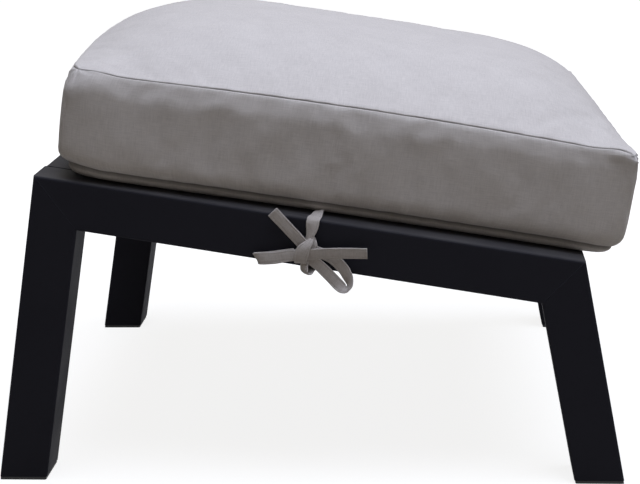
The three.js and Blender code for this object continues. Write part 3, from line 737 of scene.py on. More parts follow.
class CushionGrid:
    """The cushion's closed surface on lines of shares: a top, an underside and the boxing's rings."""

    def __init__(self, lines, levels):
        self.lines, self.levels = lines, levels
        self.x, self.y = np.meshgrid(lines, lines, indexing="ij")
        self.ring_x, self.ring_y = ring_shares(lines)
        inner = levels[1:-1]
        self.panel, self.ring, self.rows = self.x.size, len(self.ring_x), len(inner)
        self.under = slice(self.panel, 2 * self.panel)
        self.walls = slice(2 * self.panel, None)
        self.level = np.repeat(inner, self.ring)
        self.box_x, self.box_y = np.tile(self.ring_x, self.rows), np.tile(self.ring_y, self.rows)

    def points(self):
        top = np.stack([*outline(self.x, self.y, 1), top_height(self.x, self.y)], -1)
        under = np.stack([*outline(self.x, self.y, 0), underside_height(self.x, self.y)], -1)
        low, high = lower_seam(self.box_x, self.box_y), upper_seam(self.box_x, self.box_y)
        height = low + (high - low) * self.level
        walls = np.stack([*outline(self.box_x, self.box_y, self.level), height], -1)
        return np.concatenate([top.reshape(-1, 3), under.reshape(-1, 3), walls])

    def faces(self):
        count = len(self.lines)
        index = np.arange(count * count).reshape(count, count)
        edge = np.concatenate([index[:-1, 0], index[-1, :-1], index[::-1, -1][:-1], index[0, ::-1][:-1]])
        first = self.walls.start
        rings = [first + row * self.ring + np.arange(self.ring) for row in range(self.rows)]
        bands = [edge + self.panel, *rings, edge]
        quads = [index[:-1, :-1], index[1:, :-1], index[1:, 1:], index[:-1, 1:]]
        faces = np.stack(quads, -1).reshape(-1, 4).tolist()
        faces += (np.stack(quads[::-1], -1).reshape(-1, 4) + self.panel).tolist()
        for low, high in zip(bands[:-1], bands[1:]):
            faces += np.stack([low, np.roll(low, -1), np.roll(high, -1), high], -1).tolist()
        return faces

    def seam_distance(self):
        edge = from_edge(self.x, self.y).ravel()
        return np.concatenate([edge, edge, np.minimum(self.level, 1 - self.level) * BOXING])

    def near_upper_seam(self):
        return np.concatenate([np.ones(self.panel), np.zeros(self.panel), (self.level > 0.5) * 1.0])

    def parts(self, values):
        """Values of all points, split into the top grid, the underside grid and the boxing's rings."""
        count = len(self.lines)
        return (values[:self.panel].reshape(count, count, -1),
                values[self.under].reshape(count, count, -1),
                values[self.walls].reshape(self.rows, self.ring, -1))


def vertex_normals(points, faces):
    quads = np.array(faces)
    normal = np.cross(points[quads[:, 2]] - points[quads[:, 0]], points[quads[:, 3]] - points[quads[:, 1]])
    total = np.zeros_like(points)
    for corner in range(4):
        np.add.at(total, quads[:, corner], normal)
    return total / np.maximum(np.linalg.norm(total, axis=1, keepdims=True), TINY)


def unevenness(points, scale, seed, height):
    shift = Vector([seed * step for step in SEED_STEPS])
    return height * np.array([noise.noise(Vector(p) * scale + shift) for p in points])


def graded_lines(length, pitch, extra=()):
    """Shares from -1 to 1 with close lines near both ends, and extra places measured from the start."""
    distances = np.array([0, *SEAM_LINES])
    inner = length - 2 * distances[-1]
    count = int(round(inner / pitch))
    between = distances[-1] + inner * np.arange(1, count) / count
    if len(extra):
        gaps = np.min(np.abs(between[:, None] - np.array(extra)), axis=1)
        between = between[gaps > LINE_CLEARANCE]
    places = np.unique(np.concatenate([distances, between, length - distances, extra]))
    return 2 * places / length - 1


def curve_weights(at, count, closed=False):
    """Weights that read a smooth curve through evenly spaced values at places counted in cells."""
    weights = np.zeros((len(at), count))
    cell = np.floor(at).astype(int)
    cell = cell if closed else np.minimum(cell, count - 2)
    t = at - cell
    shares = (0.5 * (-t + 2 * t ** 2 - t ** 3), 0.5 * (2 - 5 * t ** 2 + 3 * t ** 3),
              0.5 * (t + 4 * t ** 2 - 3 * t ** 3), 0.5 * (-t ** 2 + t ** 3))
    for offset, share in zip((-1, 0, 1, 2), shares):
        index = (cell + offset) % count if closed else np.clip(cell + offset, 0, count - 1)
        np.add.at(weights, (np.arange(len(at)), index), share)
    return weights


def sharpened(values, axis, sigma, closed=False):
    """What is left of a grid of vectors when its blur along one axis is taken off."""
    size = values.shape[axis]
    steps = np.abs(np.arange(size)[:, None] - np.arange(size)[None, :])
    if closed:
        steps = np.minimum(steps, size - steps)
    kernel = np.exp(-0.5 * (steps / sigma) ** 2)
    kernel /= kernel.sum(1, keepdims=True)
    return values - np.moveaxis(np.tensordot(kernel, values, (1, axis)), 0, axis)


def panel_wrinkles(moves, grid):
    """A panel's wrinkles: near each edge, only what changes along that edge is kept, so seams stay put."""
    to_end, to_side = 1 - np.abs(grid.x) + EDGE_EASE, 1 - np.abs(grid.y) + EDGE_EASE
    near_end = (to_side / (to_end + to_side))[..., None]
    along_end, along_side = (sharpened(moves, axis, BLUR_CELLS) for axis in (1, 0))
    return along_end * near_end + along_side * (1 - near_end)


def simulate_cloth():
    """Wrinkles of the filled cover: cloth under pressure, held at its seams. Gives a grid and its moves."""
    coarse = CushionGrid(np.linspace(-1, 1, SIM_CELLS + 1), np.linspace(0, 1, SIM_LEVELS + 1))
    start = coarse.points()
    start += vertex_normals(start, coarse.faces()) * unevenness(start, *TRIAL_WAVES)[:, None]
    piece = add_piece("cloth_trial", start, coarse.faces(), bpy.data.materials.new("cloth_trial"))
    held = np.where((coarse.seam_distance() < SIM_HOLD) | (start[:, 2] < 2 * REST_GAP))[0]
    group = piece.vertex_groups.new(name="held")
    group.add(held.tolist(), 1, "REPLACE")
    modifier = piece.modifiers.new("cloth", "CLOTH")
    for name, value in SIM_SETTINGS.items():
        setattr(modifier.settings, name, value)
    modifier.settings.effector_weights.gravity = 0
    modifier.settings.vertex_group_mass = "held"
    modifier.point_cache.frame_start = 1
    modifier.point_cache.frame_end = SIM_FRAMES
    scene = bpy.context.scene
    for step in range(1, SIM_FRAMES + 1):
        scene.frame_set(step)
    evaluated = piece.evaluated_get(bpy.context.evaluated_depsgraph_get())
    end = np.zeros(len(start) * 3)
    evaluated.data.vertices.foreach_get("co", end)
    bpy.data.objects.remove(piece)
    scene.frame_set(1)
    return coarse, end.reshape(-1, 3) - start


def wrinkles(fine):
    """The simulated wrinkles on a finer grid: the broad swelling is taken off and the rest is capped."""
    coarse, moves = simulate_cloth()
    top, under, walls = coarse.parts(moves)
    top = panel_wrinkles(top, coarse) * TOP_WRINKLES
    under = panel_wrinkles(under, coarse) * UNDERSIDE_WRINKLES
    walls = sharpened(walls, 1, BLUR_CELLS, closed=True) * BOXING_WRINKLES
    at = (fine.lines + 1) / 2 * SIM_CELLS
    grid_weights = curve_weights(at, SIM_CELLS + 1)
    around = np.concatenate([side * SIM_CELLS + at[:-1] for side in range(4)])
    ring_weights = curve_weights(around, 4 * SIM_CELLS, closed=True)
    rows = np.zeros((SIM_LEVELS + 1, *walls.shape[1:]))
    rows[1:-1] = walls
    level_weights = curve_weights(fine.levels[1:-1] * SIM_LEVELS, SIM_LEVELS + 1)
    fields = [np.einsum("ia,jb,abk->ijk", grid_weights, grid_weights, part) for part in (top, under)]
    fields.append(np.einsum("ia,jb,abk->ijk", level_weights, ring_weights, rows))
    found = np.concatenate([field.reshape(-1, 3) for field in fields])
    size = np.linalg.norm(found, axis=1, keepdims=True)
    return found * np.minimum(1, WRINKLE_CAP / np.maximum(size, TINY))


def corner_folds(grid, points):
    """Small folds that run out from each upper corner, one corner's dimple and another's lip."""
    found = np.zeros(len(points))
    on_side = np.tile(np.abs(grid.ring_y) == 1, grid.rows)
    for corner in CORNERS:
        share = np.array(corner, float)
        along, across = outline(share[:1], share[1:], 1)
        tip = np.array([along[0], across[0], upper_seam(share[:1], share[1:])[0]])
        away = np.abs(points - tip)
        walls = away[grid.walls]
        angle = np.arctan2(away[:, 1], away[:, 0])
        angle[grid.walls] = np.arctan2(walls[:, 2], np.where(on_side, walls[:, 0], walls[:, 1]))
        reach = np.linalg.norm(away, axis=1)
        fade = bell(reach, FOLD_REACH) * (1 - bell(reach, FOLD_START))
        fade[grid.under] = 0
        found += FOLD_HEIGHT * fade * np.sin(FOLD_COUNT * angle + 2 * corner[0] + corner[1])
        if corner == DIMPLE_CORNER:
            to_dimple = np.linalg.norm(points - tip + [0, 0, DIMPLE_BELOW], axis=1)
            found -= DIMPLE_DEPTH * bell(to_dimple, DIMPLE_REACH)
    below = (1 - grid.level) * BOXING
    at_end = np.clip((grid.box_x - LIP_START) / (1 - LIP_START), 0, 1) * (grid.box_y <= -1)
    found[grid.walls] += LIP_HEIGHT * at_end * bell(below - LIP_BELOW, LIP_REACH)
    return found


def near_zip_share(grid, points):
    """1 on the high end's boxing at the zip's height, fading to 0 above and below."""
    share = np.zeros(len(points))
    share[grid.walls] = bell(points[grid.walls, 2] - ZIP_HEIGHT, ZIP_CALM_REACH) * (grid.box_x <= -1)
    return share


def zip_opening(grid, points):
    """How far the high end's boxing is tucked in behind the zip, from 0 to 1, for each point."""
    share = np.zeros(len(points))
    walls = points[grid.walls]
    beside = (ZIP_OPENING / 2 - np.abs(walls[:, 2] - ZIP_HEIGHT)) / ZIP_EDGE + 0.5
    before_end = (ZIP_LENGTH / 2 - np.abs(walls[:, 1])) / ZIP_END_SLOPE + 0.5
    share[grid.walls] = np.clip(beside, 0, 1) * np.clip(before_end, 0, 1) * (grid.box_x <= -1)
    return share


def cover_relief(grid, points, near_zip):
    """How far each point stands out of the smooth form: grooves, rolled seams, folds and unevenness."""
    distance = grid.seam_distance()
    depth = GROOVE_DEPTH + GROOVE_DEEPER_AT_TOP * grid.near_upper_seam()
    groove = -depth * bell(distance, GROOVE_REACH)
    roll = ROLL_HEIGHT * bell(distance - ROLL_FROM_SEAM, ROLL_REACH)
    waves = unevenness(points, *BROAD_WAVES) + unevenness(points, *MEDIUM_WAVES)
    calm = np.clip(distance / CALM_FROM_SEAM, 0, 1)
    calm[grid.under] *= UNDERSIDE_CALM
    calm *= 1 - ZIP_CALM * near_zip
    pucker = unevenness(points, *PUCKERS) * np.exp(-distance / PUCKER_REACH)
    return groove + roll + waves * calm + pucker + corner_folds(grid, points)


def weave_places(grid, points):
    """Where each point lies in the flat cloth: on the panels, and along and up the boxing's strip."""
    panels = points[:grid.walls.start] * [1, 1, 0]
    on_side = np.abs(grid.ring_y) == 1
    around = np.where(on_side, grid.ring_x * CUSHION_LENGTH / 2, grid.ring_y * CUSHION_WIDTH / 2)
    strip = np.stack([np.tile(around, grid.rows), grid.level * BOXING, 0 * grid.level], 1)
    return np.concatenate([panels, strip])


def cushion_levels():
    """The boxing's levels: close together at both seams and beside the zip's opening."""
    middle_level = (ZIP_HEIGHT - LOWER_SEAM) * BOXING / (BOXING + SEAM_LIFT)
    zip_lines = []
    for side in (-1, 1):
        zip_lines += [middle_level + side * (ZIP_OPENING / 2 + off) for off in ZIP_LINE_OFFS]
    return (graded_lines(BOXING, LEVEL_PITCH, zip_lines) + 1) / 2


def cushion_point(local):
    centre = deck(CUSHION_SHIFT, 0, 0)
    basis = np.array([CUSHION_X, CUSHION_Y, NORMAL])
    return np.asarray(local) @ basis + np.array(centre)


def make_cushion(cloth, thread):
    grid = CushionGrid(graded_lines(CUSHION_LENGTH, LINE_PITCH), cushion_levels())
    points, faces = grid.points(), grid.faces()
    normals = vertex_normals(points, faces)
    near_zip = near_zip_share(grid, points)
    points = points + wrinkles(grid) * (1 - near_zip)[:, None]
    points = points + normals * cover_relief(grid, points, near_zip)[:, None]
    points[:, 0] += zip_opening(grid, points) * ZIP_RECESS
    points[grid.under, 2] = np.maximum(points[grid.under, 2], REST_GAP)
    piece = add_piece("cushion_cover", cushion_point(points), faces, cloth)
    put_attribute(piece, "weave", weave_places(grid, points))
    # How much painted seam shade each point takes, for the cloth's colour
    put_attribute(piece, "seam", bell(grid.seam_distance(), SEAM_PAINTED_SHADE_REACH), "FLOAT")
    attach(piece, "cushion")
    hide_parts("cushion_core", "cover_top_panel", "cover_bottom_panel", "cover_boxing_near",
                "cover_boxing_far", "cover_boxing_low_end", "cover_zip_strip_lower", "cover_zip_strip_upper")
    boxing = grid.parts(points)[2]
    zip_stitches(boxing[:, grid.ring_x <= -1], thread)


# Stitches

STITCH_STEP = 3.4 * MM
STITCH_LENGTH = 2.3 * MM
THREAD_RADIUS = 0.2 * MM
DASH_SIDES = 6
DASH_SHARES = (0, 0.2, 0.8, 1)
DASH_SIZES = (0.45, 1, 1, 0.45)


def add_dash(points, faces, spine, across, out, radius):
    """One stitch's thread: a bead through the spots of its spine, thinner at its ends."""
    first = len(points)
    for spot, size in zip(spine, DASH_SIZES):
        for k in range(DASH_SIDES):
            angle = 2 * math.pi * k / DASH_SIDES
            aside, lift = radius * size * math.cos(angle), radius * size * math.sin(angle)
            points.append(spot + across * aside + out * lift)
    join_rings(faces, first, DASH_SIDES, len(spine))


# Zip, in the cushion's own axes

TAPE_FRONT = -(CUSHION_LENGTH / 2 + HIGH_END_BULGE) + 2.4 * MM
TAPE_WIDTH = 26 * MM
TAPE_THICKNESS = 1 * MM
TAPE_HALF_GAP = 0.2 * MM
TAPE_STEPS = 110
TAPE_SAG = 0.15 * MM
TAPE_SAG_SCALE = 60
TAPE_SEED_STEP = 5
CHAIN_HEIGHT = 1.75 * MM
CHAIN_HALF = 2.4 * MM
TOOTH_PITCH = 1.1 * MM
TOOTH_HALF = 0.42 * MM
TOOTH_OVERLAP = 0.7 * MM
END_STOP = 3 * MM
ZIP_STITCH_OFF = 7.4 * MM
ZIP_STITCH_LIFT = 0.1 * MM

# A tooth's sections: how far behind the tape's front, and the share of its flanks' size.
TOOTH_SECTIONS = ((0.1 * MM, 1), (-0.6 * CHAIN_HEIGHT, 1), (-CHAIN_HEIGHT, 0.62))


def zip_stitches(end_rows, thread):
    """Topstitching through the cover and the tape, above and below the zip's opening."""
    points, faces = [], []
    up, out = np.array([0, 0, 1.0]), np.array([-1.0, 0, 0])
    for side in (-1, 1):
        heights = end_rows[:, :, 2].mean(1)
        row = end_rows[np.argmin(np.abs(heights - ZIP_HEIGHT - side * ZIP_STITCH_OFF))]
        x, y, z = row[np.argsort(row[:, 1])].T
        for place in np.arange(-ZIP_LENGTH / 2, ZIP_LENGTH / 2, STITCH_STEP):
            at = place + np.array(DASH_SHARES) * STITCH_LENGTH
            spine = np.stack([np.interp(at, y, x), at, np.interp(at, y, z)], 1)
            add_dash(points, faces, spine + out * ZIP_STITCH_LIFT, up, out, THREAD_RADIUS)
    piece = add_solid("zip_stitches", cushion_point(points), faces, thread)
    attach(piece, "cushion")


def zip_tooth(points, faces, y, half, z_root, z_head):
    """One tooth or stop: a block with sloping flanks, from its root on the tape to its head."""
    first = len(points)
    z_middle, z_half = (z_root + z_head) / 2, abs(z_head - z_root) / 2
    for depth, share in TOOTH_SECTIONS:
        z_reach = z_half - (1 - share) * half
        for sy, sz in SQUARE_SIGNS:
            place = y + sy * half * share
            points.append((TAPE_FRONT + depth, place, ZIP_HEIGHT + z_middle + sz * z_reach))
    join_rings(faces, first, len(SQUARE_SIGNS), len(TOOTH_SECTIONS))


def make_tape(tape):
    """The two halves of the zip's woven tape, which sag a little behind the opening."""
    section = ((0, TAPE_HALF_GAP), (0, TAPE_WIDTH / 2),
               (TAPE_THICKNESS, TAPE_WIDTH / 2), (TAPE_THICKNESS, TAPE_HALF_GAP))
    points, faces, weave = [], [], []
    for side in (-1, 1):
        first = len(points)
        for y in np.linspace(-ZIP_LENGTH / 2, ZIP_LENGTH / 2, TAPE_STEPS + 1):
            wander = noise.noise(Vector((y * TAPE_SAG_SCALE, side * TAPE_SEED_STEP, 0)))
            sag = max(0, wander * TAPE_SAG)
            for depth, z in section:
                points.append((TAPE_FRONT + depth + sag, y, ZIP_HEIGHT + side * z))
                weave.append((y, side * z, 0))
        join_rings(faces, first, len(section), TAPE_STEPS + 1)
    piece = add_solid("zip_tape_cloth", cushion_point(points), faces, tape, smooth=False)
    put_attribute(piece, "weave", weave)
    return piece


def make_chain(teeth):
    """The closed row of teeth, with a stop at each end."""
    points, faces = [], []
    for end in (-1, 1):
        zip_tooth(points, faces, end * (ZIP_LENGTH - END_STOP) / 2, END_STOP / 2, -CHAIN_HALF, CHAIN_HALF)
    places = np.arange(-ZIP_LENGTH / 2 + 2 * END_STOP, ZIP_LENGTH / 2 - 2 * END_STOP, TOOTH_PITCH)
    for index, y in enumerate(places):
        side = 1 if index % 2 else -1
        zip_tooth(points, faces, y, TOOTH_HALF, side * CHAIN_HALF, -side * TOOTH_OVERLAP)
    return add_solid("zip_chain", cushion_point(points), faces, teeth, smooth=False)


def make_zip(tape, teeth):
    piece = make_tape(tape)
    for made in (piece, make_chain(teeth)):
        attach(made, "cushion")
    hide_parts("zip_tape")


# Ties: a along the rail, b out from its face and c up, all in millimetres from the knot's centre

KNOT_BELOW_TOP = 33.8 * MM
STRAP_WIDTH = 12 * MM
STRAP_THICKNESS = 1.5 * MM
STRAP_STEP = 1.3
STRAP_LEAST_SECTIONS = 8
HINGES = {"outer_strap": ((7, -2, 35), (9.4, -22.4, 38)), "inner_strap": ((6, -52, 12), (6, -52, 33))}

# A strap's section: its shares across, where its edge rounds off, and the dent along each stitch line.
SECTION_SHARES = (-1, -0.985, -0.93, -0.82, -0.74, -0.68, -0.62, -0.3, 0,
                  0.3, 0.62, 0.68, 0.74, 0.82, 0.93, 0.985, 1)
EDGE_SHARE = 0.82
STITCH_LINE = 0.68
STITCH_DENT = 0.3
STITCH_DENT_REACH = 0.05
STITCH_START = 1.5
STITCH_END = 1
STITCH_LIFT = 0.05

# A strap's waves out of its plane: length, turns across, the seed's step and height. Its edge has no turns.
STRAP_WAVES = ((7, 1.2, 5.3, 0.35), (4, 3, 2.1, 0.12))
EDGE_WAVE = (3, 9.1, 0.12)
BACK_WEAVE_SHIFT = 20
FAR_SEED = 20
KNOT_SEED = 30


def tie_point(side, a, b, c):
    return deck(a * MM, side * (HALF_WIDTH + b * MM), c * MM - KNOT_BELOW_TOP)


def section_height(share):
    """Half thickness of a folded and stitched strap at a share of its half width."""
    edge = max(0, (abs(share) - EDGE_SHARE) / (1 - EDGE_SHARE))
    body = math.sqrt(max(0, 1 - edge ** 2))
    dent = STITCH_DENT * math.exp(-((abs(share) - STITCH_LINE) / STITCH_DENT_REACH) ** 2)
    return STRAP_THICKNESS / 2 * (body - dent)


def strap_wave(along, share, seed):
    """How far a strap's point wanders across it and out of its plane."""
    out = 0
    for length, turns, step, height in STRAP_WAVES:
        out += noise.noise(Vector((along / length, share * turns, seed * step))) * height
    length, step, height = EDGE_WAVE
    return noise.noise(Vector((along / length, seed * step, share))) * height, out


def strap(name, side, rows, cloth, thread, seed):
    """A strap through rows of (a, b, c, across a, across b, across c, width share), and its stitches."""
    rough = np.array([[*row[:3], *Vector(row[3:6]).normalized(), row[6]] for row in rows])
    length = np.linalg.norm(np.diff(rough[:, :3], axis=0), axis=1).sum()
    smooth, at = spline(rough, max(STRAP_LEAST_SECTIONS, int(length / STRAP_STEP)))
    centres, acrosses, widths = smooth[:, :3], smooth[:, 3:6], smooth[:, 6]
    tangents = unit(np.gradient(centres, axis=0))
    acrosses = unit(acrosses - tangents * (acrosses * tangents).sum(1, keepdims=True))
    outs = np.cross(tangents, acrosses)
    ring = [(share, section_height(share)) for share in SECTION_SHARES]
    ring += [(share, -section_height(share)) for share in SECTION_SHARES[-2:0:-1]]
    points, faces, weave = [], [], []
    half = STRAP_WIDTH / 2 / MM
    for along, centre, across, out, width in zip(at, centres, acrosses, outs, widths):
        for share, height in ring:
            aside, lift = strap_wave(along, share, seed)
            spot = centre + across * (share * half * width + aside) + out * (height / MM + lift)
            points.append(tie_point(side, *spot))
            shift = BACK_WEAVE_SHIFT if height < 0 else 0
            weave.append((along * MM, (share * half + shift) * MM, 0))
    join_rings(faces, 0, len(ring), len(centres))
    piece = add_solid(name, points, faces, cloth)
    put_attribute(piece, "weave", weave)
    return [piece, stitch_row(name + "_stitches", side, centres, acrosses, outs, widths, at, thread)]


def stitch_row(name, side, centres, acrosses, outs, widths, at, thread):
    """Topstitching: a row of short thread dashes near each edge, on both faces."""
    dash, radius, step = STITCH_LENGTH / MM, THREAD_RADIUS / MM, STITCH_STEP / MM
    points, faces = [], []
    for line in (-STITCH_LINE, STITCH_LINE):
        for face in (1, -1):
            lift = face * (section_height(line) / MM + STITCH_LIFT)
            for place in np.arange(STITCH_START, at[-1] - STITCH_END - dash, step):
                spots = place + np.array(DASH_SHARES) * dash
                centre, across, out = (np.stack([np.interp(spots, at, column) for column in grid.T], 1)
                                       for grid in (centres, acrosses, outs))
                aside = line * STRAP_WIDTH / 2 / MM * np.interp(spots, at, widths)
                spine = centre + across * aside[:, None] + out * lift
                add_dash(points, faces, spine, across[0], out[0], radius)
    return add_solid(name, [tie_point(side, *spot) for spot in points], faces, thread)


def tie_rows():
    """The bow's straps: rows of a, b, c in millimetres, the way across, and a share of the strap's width."""
    rows = {}
    rows["tail_upper"] = [
        (0, 5.2, 7.4, 0.64, 0.1, 0.77, 1), (-11, 5, 16.6, 0.64, 0.1, 0.77, 1.02),
        (-22, 4.6, 25.4, 0.64, 0, 0.77, 1), (-30, 5.4, 32.2, 0.64, -0.1, 0.77, 1),
        (-35.2, 6.6, 36.8, 0.64, -0.12, 0.77, 1)]
    rows["tail_side"] = [
        (0, 8.2, -1, -0.165, 0.2, 0.986, 1), (10, 9.2, 0.6, -0.165, 0.2, 0.986, 1),
        (24, 8.8, 3.4, -0.165, 0.1, 0.986, 0.98), (42, 8.6, 6.6, -0.165, 0.1, 0.986, 0.96),
        (64, 10.2, 10.2, -0.165, 0.14, 0.986, 0.96)]
    rows["loop_flat"] = [
        (-3, 8.4, -2.6, 0.3, 0.12, -0.94, 0.95), (-12, 8.2, -4.6, 0.36, 0.12, -0.93, 0.98),
        (-26, 8.2, -9.2, 0.33, 0.16, -0.93, 1.02), (-37, 7.8, -11.8, 0.3, 0.1, -0.94, 1.04),
        (-43, 7.2, -12.9, 0.5, 0.05, -0.86, 1.04), (-44.9, 5.5, -13.3, 0.68, 0, -0.73, 1.04),
        (-43, 3.8, -12.9, 0.5, 0, -0.86, 0.94), (-34, 3.2, -10.6, 0.3, 0, -0.95, 0.86),
        (-20, 3, -6.4, 0.36, 0.1, -0.92, 0.84), (-8, 4.2, -2.2, 0.36, 0.1, -0.92, 0.8)]
    rows["loop_open"] = [
        (5, 6.2, -3.6, 0.64, 0, 0.77, 0.9), (18.2, 6.6, -10.6, 0.64, 0, 0.77, 0.98),
        (30.2, 7.4, -19, 0.62, -0.06, 0.77, 1), (38.6, 8.4, -25.4, 0.6, -0.2, 0.76, 1),
        (44.4, 9.2, -29.2, 0.42, -0.66, 0.62, 1), (49.2, 9.4, -29.6, 0.1, -0.94, 0.3, 1),
        (51.6, 8.4, -25.6, -0.45, -0.85, -0.1, 1), (50, 7.2, -20.6, -0.7, -0.56, -0.42, 1),
        (46.2, 6.2, -14.6, -0.74, -0.26, -0.6, 1), (40.6, 5.4, -8.6, -0.72, -0.12, -0.64, 1.02),
        (29.6, 4.2, -1.4, -0.62, -0.06, -0.78, 1), (12, 3.4, 3, -0.3, 0, -0.95, 0.9)]
    rows["outer_strap"] = [
        (9.6, -23.4, 38, 0.9, -0.2, 0.3, 0.8), (9, -20.4, 37.6, 0.9, -0.16, 0.3, 0.84),
        (8.2, -15, 36.2, 0.96, -0.1, 0.2, 0.96), (7.2, -7, 35.4, 1, 0, 0.1, 1.06),
        (6.2, -0.6, 35, 1, 0.1, 0, 1.1), (5.7, 2.6, 31.6, 1, 0.1, 0.1, 1.1),
        (5.8, 3.8, 25, 0.98, 0.2, 0.1, 1.02), (5.2, 4.6, 19, 0.95, 0.3, 0.15, 0.76),
        (4, 5.2, 13, 0.9, 0.4, 0.2, 0.54), (2.4, 5.4, 6, 0.9, 0.4, 0.2, 0.4)]
    rows["inner_strap"] = [
        (6, -51.8, 33.2, 1, 0, 0, 1), (6, -52.2, 20, 1, 0, 0, 1), (6, -52, 0, 1, 0, 0, 1),
        (6, -51.8, -14, 1, 0, 0, 1), (6, -48, -18, 1, 0, 0, 1), (6, -28, -18.2, 1, 0, 0, 1),
        (6.4, -14, -18.8, 1, 0, 0, 1), (8.4, -5, -19.6, 0.86, 0.5, 0.12, 1),
        (9.4, 2, -19.4, 0.66, 0.72, 0.2, 1), (8.2, 6.2, -20.6, 0.52, 0.84, 0.14, 1),
        (5.4, 8, -19.6, 0.6, 0.78, 0.1, 0.95), (3.8, 8, -14.4, 0.84, 0.5, 0.2, 0.8),
        (3.4, 4.8, -5, 0.9, 0.1, 0.3, 0.6)]
    return rows


def knot_rows():
    """The knot's two wraps: a broad one over its front, and a narrow one behind it at the right."""
    front = [
        (8.2, 4.4, 17.4, 1, 0, 0.3, 0.3), (6.6, 7.4, 13.6, 1, 0, 0.3, 0.5),
        (3.4, 9.8, 8.6, 1, 0, 0.2, 0.86), (0.4, 10.8, 3.2, 1, 0, 0.06, 1.14),
        (-0.9, 11, -2.4, 1, 0, 0.05, 1.2), (-0.7, 9.8, -8, 1, 0, 0.06, 1.1),
        (-0.5, 6.8, -10.8, 1, 0, 0.08, 1), (0, 3.6, -9.4, 1, 0, 0.1, 0.92),
        (0.4, 2.4, -3, 1, 0, 0.1, 0.9), (1, 2.6, 5, 1, 0, 0.1, 0.8)]
    side = [
        (7.6, 3, 16.4, 1, 0, 0.3, 0.3), (9.6, 5.4, 13, 1, 0, 0.34, 0.46),
        (10.6, 7, 7.6, 1, 0, 0.3, 0.62), (10.4, 7.4, 1.4, 1, 0, 0.2, 0.74),
        (8.6, 6.6, -5, 1, 0, 0.1, 0.8), (6, 4.4, -9.2, 1, 0, 0, 0.8),
        (4, 2.4, -5, 1, 0, 0, 0.8)]
    return [front, side]


def make_tie(name, side, cloth, thread):
    made = {}
    for seed, (part, rows) in enumerate(tie_rows().items()):
        seed += FAR_SEED if side > 0 else 0
        made[part] = strap(f"{name}_tie_{part}_cloth", side, rows, cloth, thread, seed)
    for index, rows in enumerate(knot_rows()):
        turn = f"{name}_tie_knot_turn_{index + 1}"
        made[f"knot_{index}"] = strap(turn, side, rows, cloth, thread, KNOT_SEED + index)
    for part, pieces in made.items():
        for piece in pieces:
            if part not in HINGES:
                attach(piece, "frame")
        node = f"{name}_tie_knot" if part.startswith("knot") else f"{name}_tie_{part}"
        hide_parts(node)
    for part, places in HINGES.items():
        for piece in made[part]:
            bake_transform(piece)


# Frame

SHARP_ANGLE = math.radians(38)
NORMALS_WEIGHT = 100


def smooth_edges(node):
    """Shades the tubes' rounded corners smoothly and keeps their mitres and flats crisp."""
    piece = frame["nodes"][node]
    mesh = piece.data
    mesh.polygons.foreach_set("use_smooth", [True] * len(mesh.polygons))
    mesh.set_sharp_from_angle(angle=SHARP_ANGLE)
    weighted = piece.modifiers.new("weighted_normals", "WEIGHTED_NORMAL")
    weighted.keep_sharp = True
    weighted.weight = NORMALS_WEIGHT


def dress_frame(paint, plastic, metal):
    for node, piece in frame["nodes"].items():
        if "leg" in node or "rail" in node or "slat" in node:
            material = paint
        elif "glide" in node:
            material = plastic
        elif node in ("zip_slider", "zip_pull"):
            material = metal
        else:
            continue
        piece.data.materials.clear()
        piece.data.materials.append(material)
        smooth_edges(node)


# Welds

WELD_REACH = 0.7 * MM
WELD_HALF = 0.7 * MM
WELD_FLUSH = 0.02 * MM
WELD_PROUD = 0.07 * MM
WELD_ROOT = 1 * MM
BEAD = 1.6 * MM
WELD_GAP = 0.3 * MM
OUTER_SHARE = 0.95
POINT_GRID = 0.01 * MM
END_DEPTH = 0.1 * MM
DECK_CLEAR = 0.6 * MM


def corner_points(node):
    """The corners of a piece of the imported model, each of them once."""
    piece = frame["nodes"][node]
    points = np.array([piece.matrix_world @ vertex.co for vertex in piece.data.vertices])
    cells = np.round(points / POINT_GRID).astype(int)
    return points[np.unique(cells, axis=0, return_index=True)[1]]


def outer_ring(first, second):
    """The outer points of a hollow section, in order round it, by two coordinates from its middle."""
    shares = np.maximum(np.abs(first) / np.abs(first).max(), np.abs(second) / np.abs(second).max())
    outer = np.where(shares > OUTER_SHARE)[0]
    return outer[np.argsort(np.arctan2(second[outer], first[outer]))]


def weld_piece(name, rings, paint):
    """A closed bead along several rings, whose points beside each other are its sections' corners."""
    faces = []
    join_rings(faces, 0, len(rings), len(rings[0]), closed=True)
    piece = add_solid(name, np.stack(rings, 1).reshape(-1, 3), faces, paint)
    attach(piece, "frame")


def radial(points, centre, along):
    """Directions from an axis, square to it, to the points."""
    away = points - centre
    return unit(away - (away @ along)[:, None] * along)


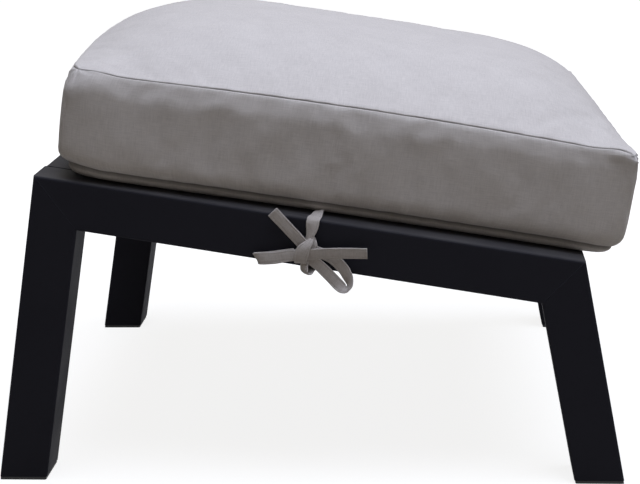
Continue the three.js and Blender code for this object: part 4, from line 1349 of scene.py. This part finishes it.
def mitre_weld(side, end, paint):
    """The ground-flush weld that closes the mitre between a leg and its rail."""
    leg, rail = corner_points(f"{side}_leg_{end}"), corner_points(f"{side}_side_rail")
    gap = np.linalg.norm(leg[:, None] - rail[None], axis=2)
    meets = gap.min(1) < WELD_REACH
    on_leg, on_rail = leg[meets], rail[gap.argmin(1)[meets]]
    centre = on_leg.mean(0)
    away = on_leg - centre
    flat = away[:, [0, 2]]
    slant = unit(flat[np.argmax(np.linalg.norm(flat, axis=1))])
    ring = outer_ring(flat @ slant, away[:, 1])
    on_leg, on_rail = on_leg[ring], on_rail[ring]
    down_leg = unit(leg[~meets].mean(0) - centre)
    along_rail = unit(rail.mean(0) - centre)
    leg_out, rail_out = radial(on_leg, centre, down_leg), radial(on_rail, centre, along_rail)
    out = unit(leg_out + rail_out)
    crest = (on_leg + on_rail) / 2
    rings = [on_leg + down_leg * WELD_HALF + leg_out * WELD_FLUSH, crest + out * WELD_PROUD,
             on_rail + along_rail * WELD_HALF + rail_out * WELD_FLUSH, crest - out * WELD_ROOT]
    weld_piece(f"{side}_{end}_mitre_weld", rings, paint)


def end_weld(node, side, paint):
    """The bead between a cross tube's or slat's end and the side rail, flush on the deck's top."""
    points = corner_points(node)
    end = points[points[:, 1] * side > (points[:, 1] * side).max() - END_DEPTH]
    away = end - end.mean(0)
    slope, normal = away @ np.array(SLOPE), away @ np.array(NORMAL)
    ring = outer_ring(slope, normal)
    end, slope, normal = end[ring], slope[ring], normal[ring]
    is_wall = np.abs(slope) / np.abs(slope).max() > np.abs(normal) / np.abs(normal).max()
    out = np.where(is_wall[:, None], np.sign(slope)[:, None] * np.array(SLOPE),
                   np.sign(normal)[:, None] * np.array(NORMAL))
    height = (end - np.array(DECK_MID)) @ np.array(NORMAL)
    free = (height < -DECK_CLEAR) & (height > 2 * BEAD - TUBE)
    size = np.where(free, BEAD, WELD_FLUSH)[:, None]
    inward = np.array([0, -side, 0])
    rings = [end + inward * BEAD + out * WELD_FLUSH, end - inward * WELD_GAP + out * size,
             end - inward * WELD_GAP - out * WELD_ROOT, end + inward * BEAD - out * WELD_ROOT]
    weld_piece(f"{node}_weld_{'near' if side < 0 else 'far'}", rings, paint)


def make_welds(paint):
    for side in ("near", "far"):
        for end in ("high", "low"):
            mitre_weld(side, end, paint)
    crossing = [node for node in frame["nodes"] if node.startswith(("cross_rail", "deck_slat"))]
    for node in crossing:
        for side in (-1, 1):
            end_weld(node, side, paint)


def main():
    bpy.context.scene.view_settings.view_transform = "Standard"
    make_camera()
    make_world()
    make_floor()
    make_lights()
    cloth = cloth_material("cover_cloth", COVER_LIGHT, COVER_DARK, COVER_PITCH, COVER_BUMP)
    strap_cloth = cloth_material("tie_cloth", TIE_LIGHT, TIE_DARK, TIE_PITCH, TIE_BUMP)
    thread = thread_material()
    paint = paint_material()
    dress_frame(paint, plastic_material(), metal_material())
    make_welds(paint)
    make_zip(tape_material(), teeth_material())
    make_cushion(cloth, thread)
    make_tie("near", -1, strap_cloth, thread)
    make_tie("far", 1, strap_cloth, thread)


main()
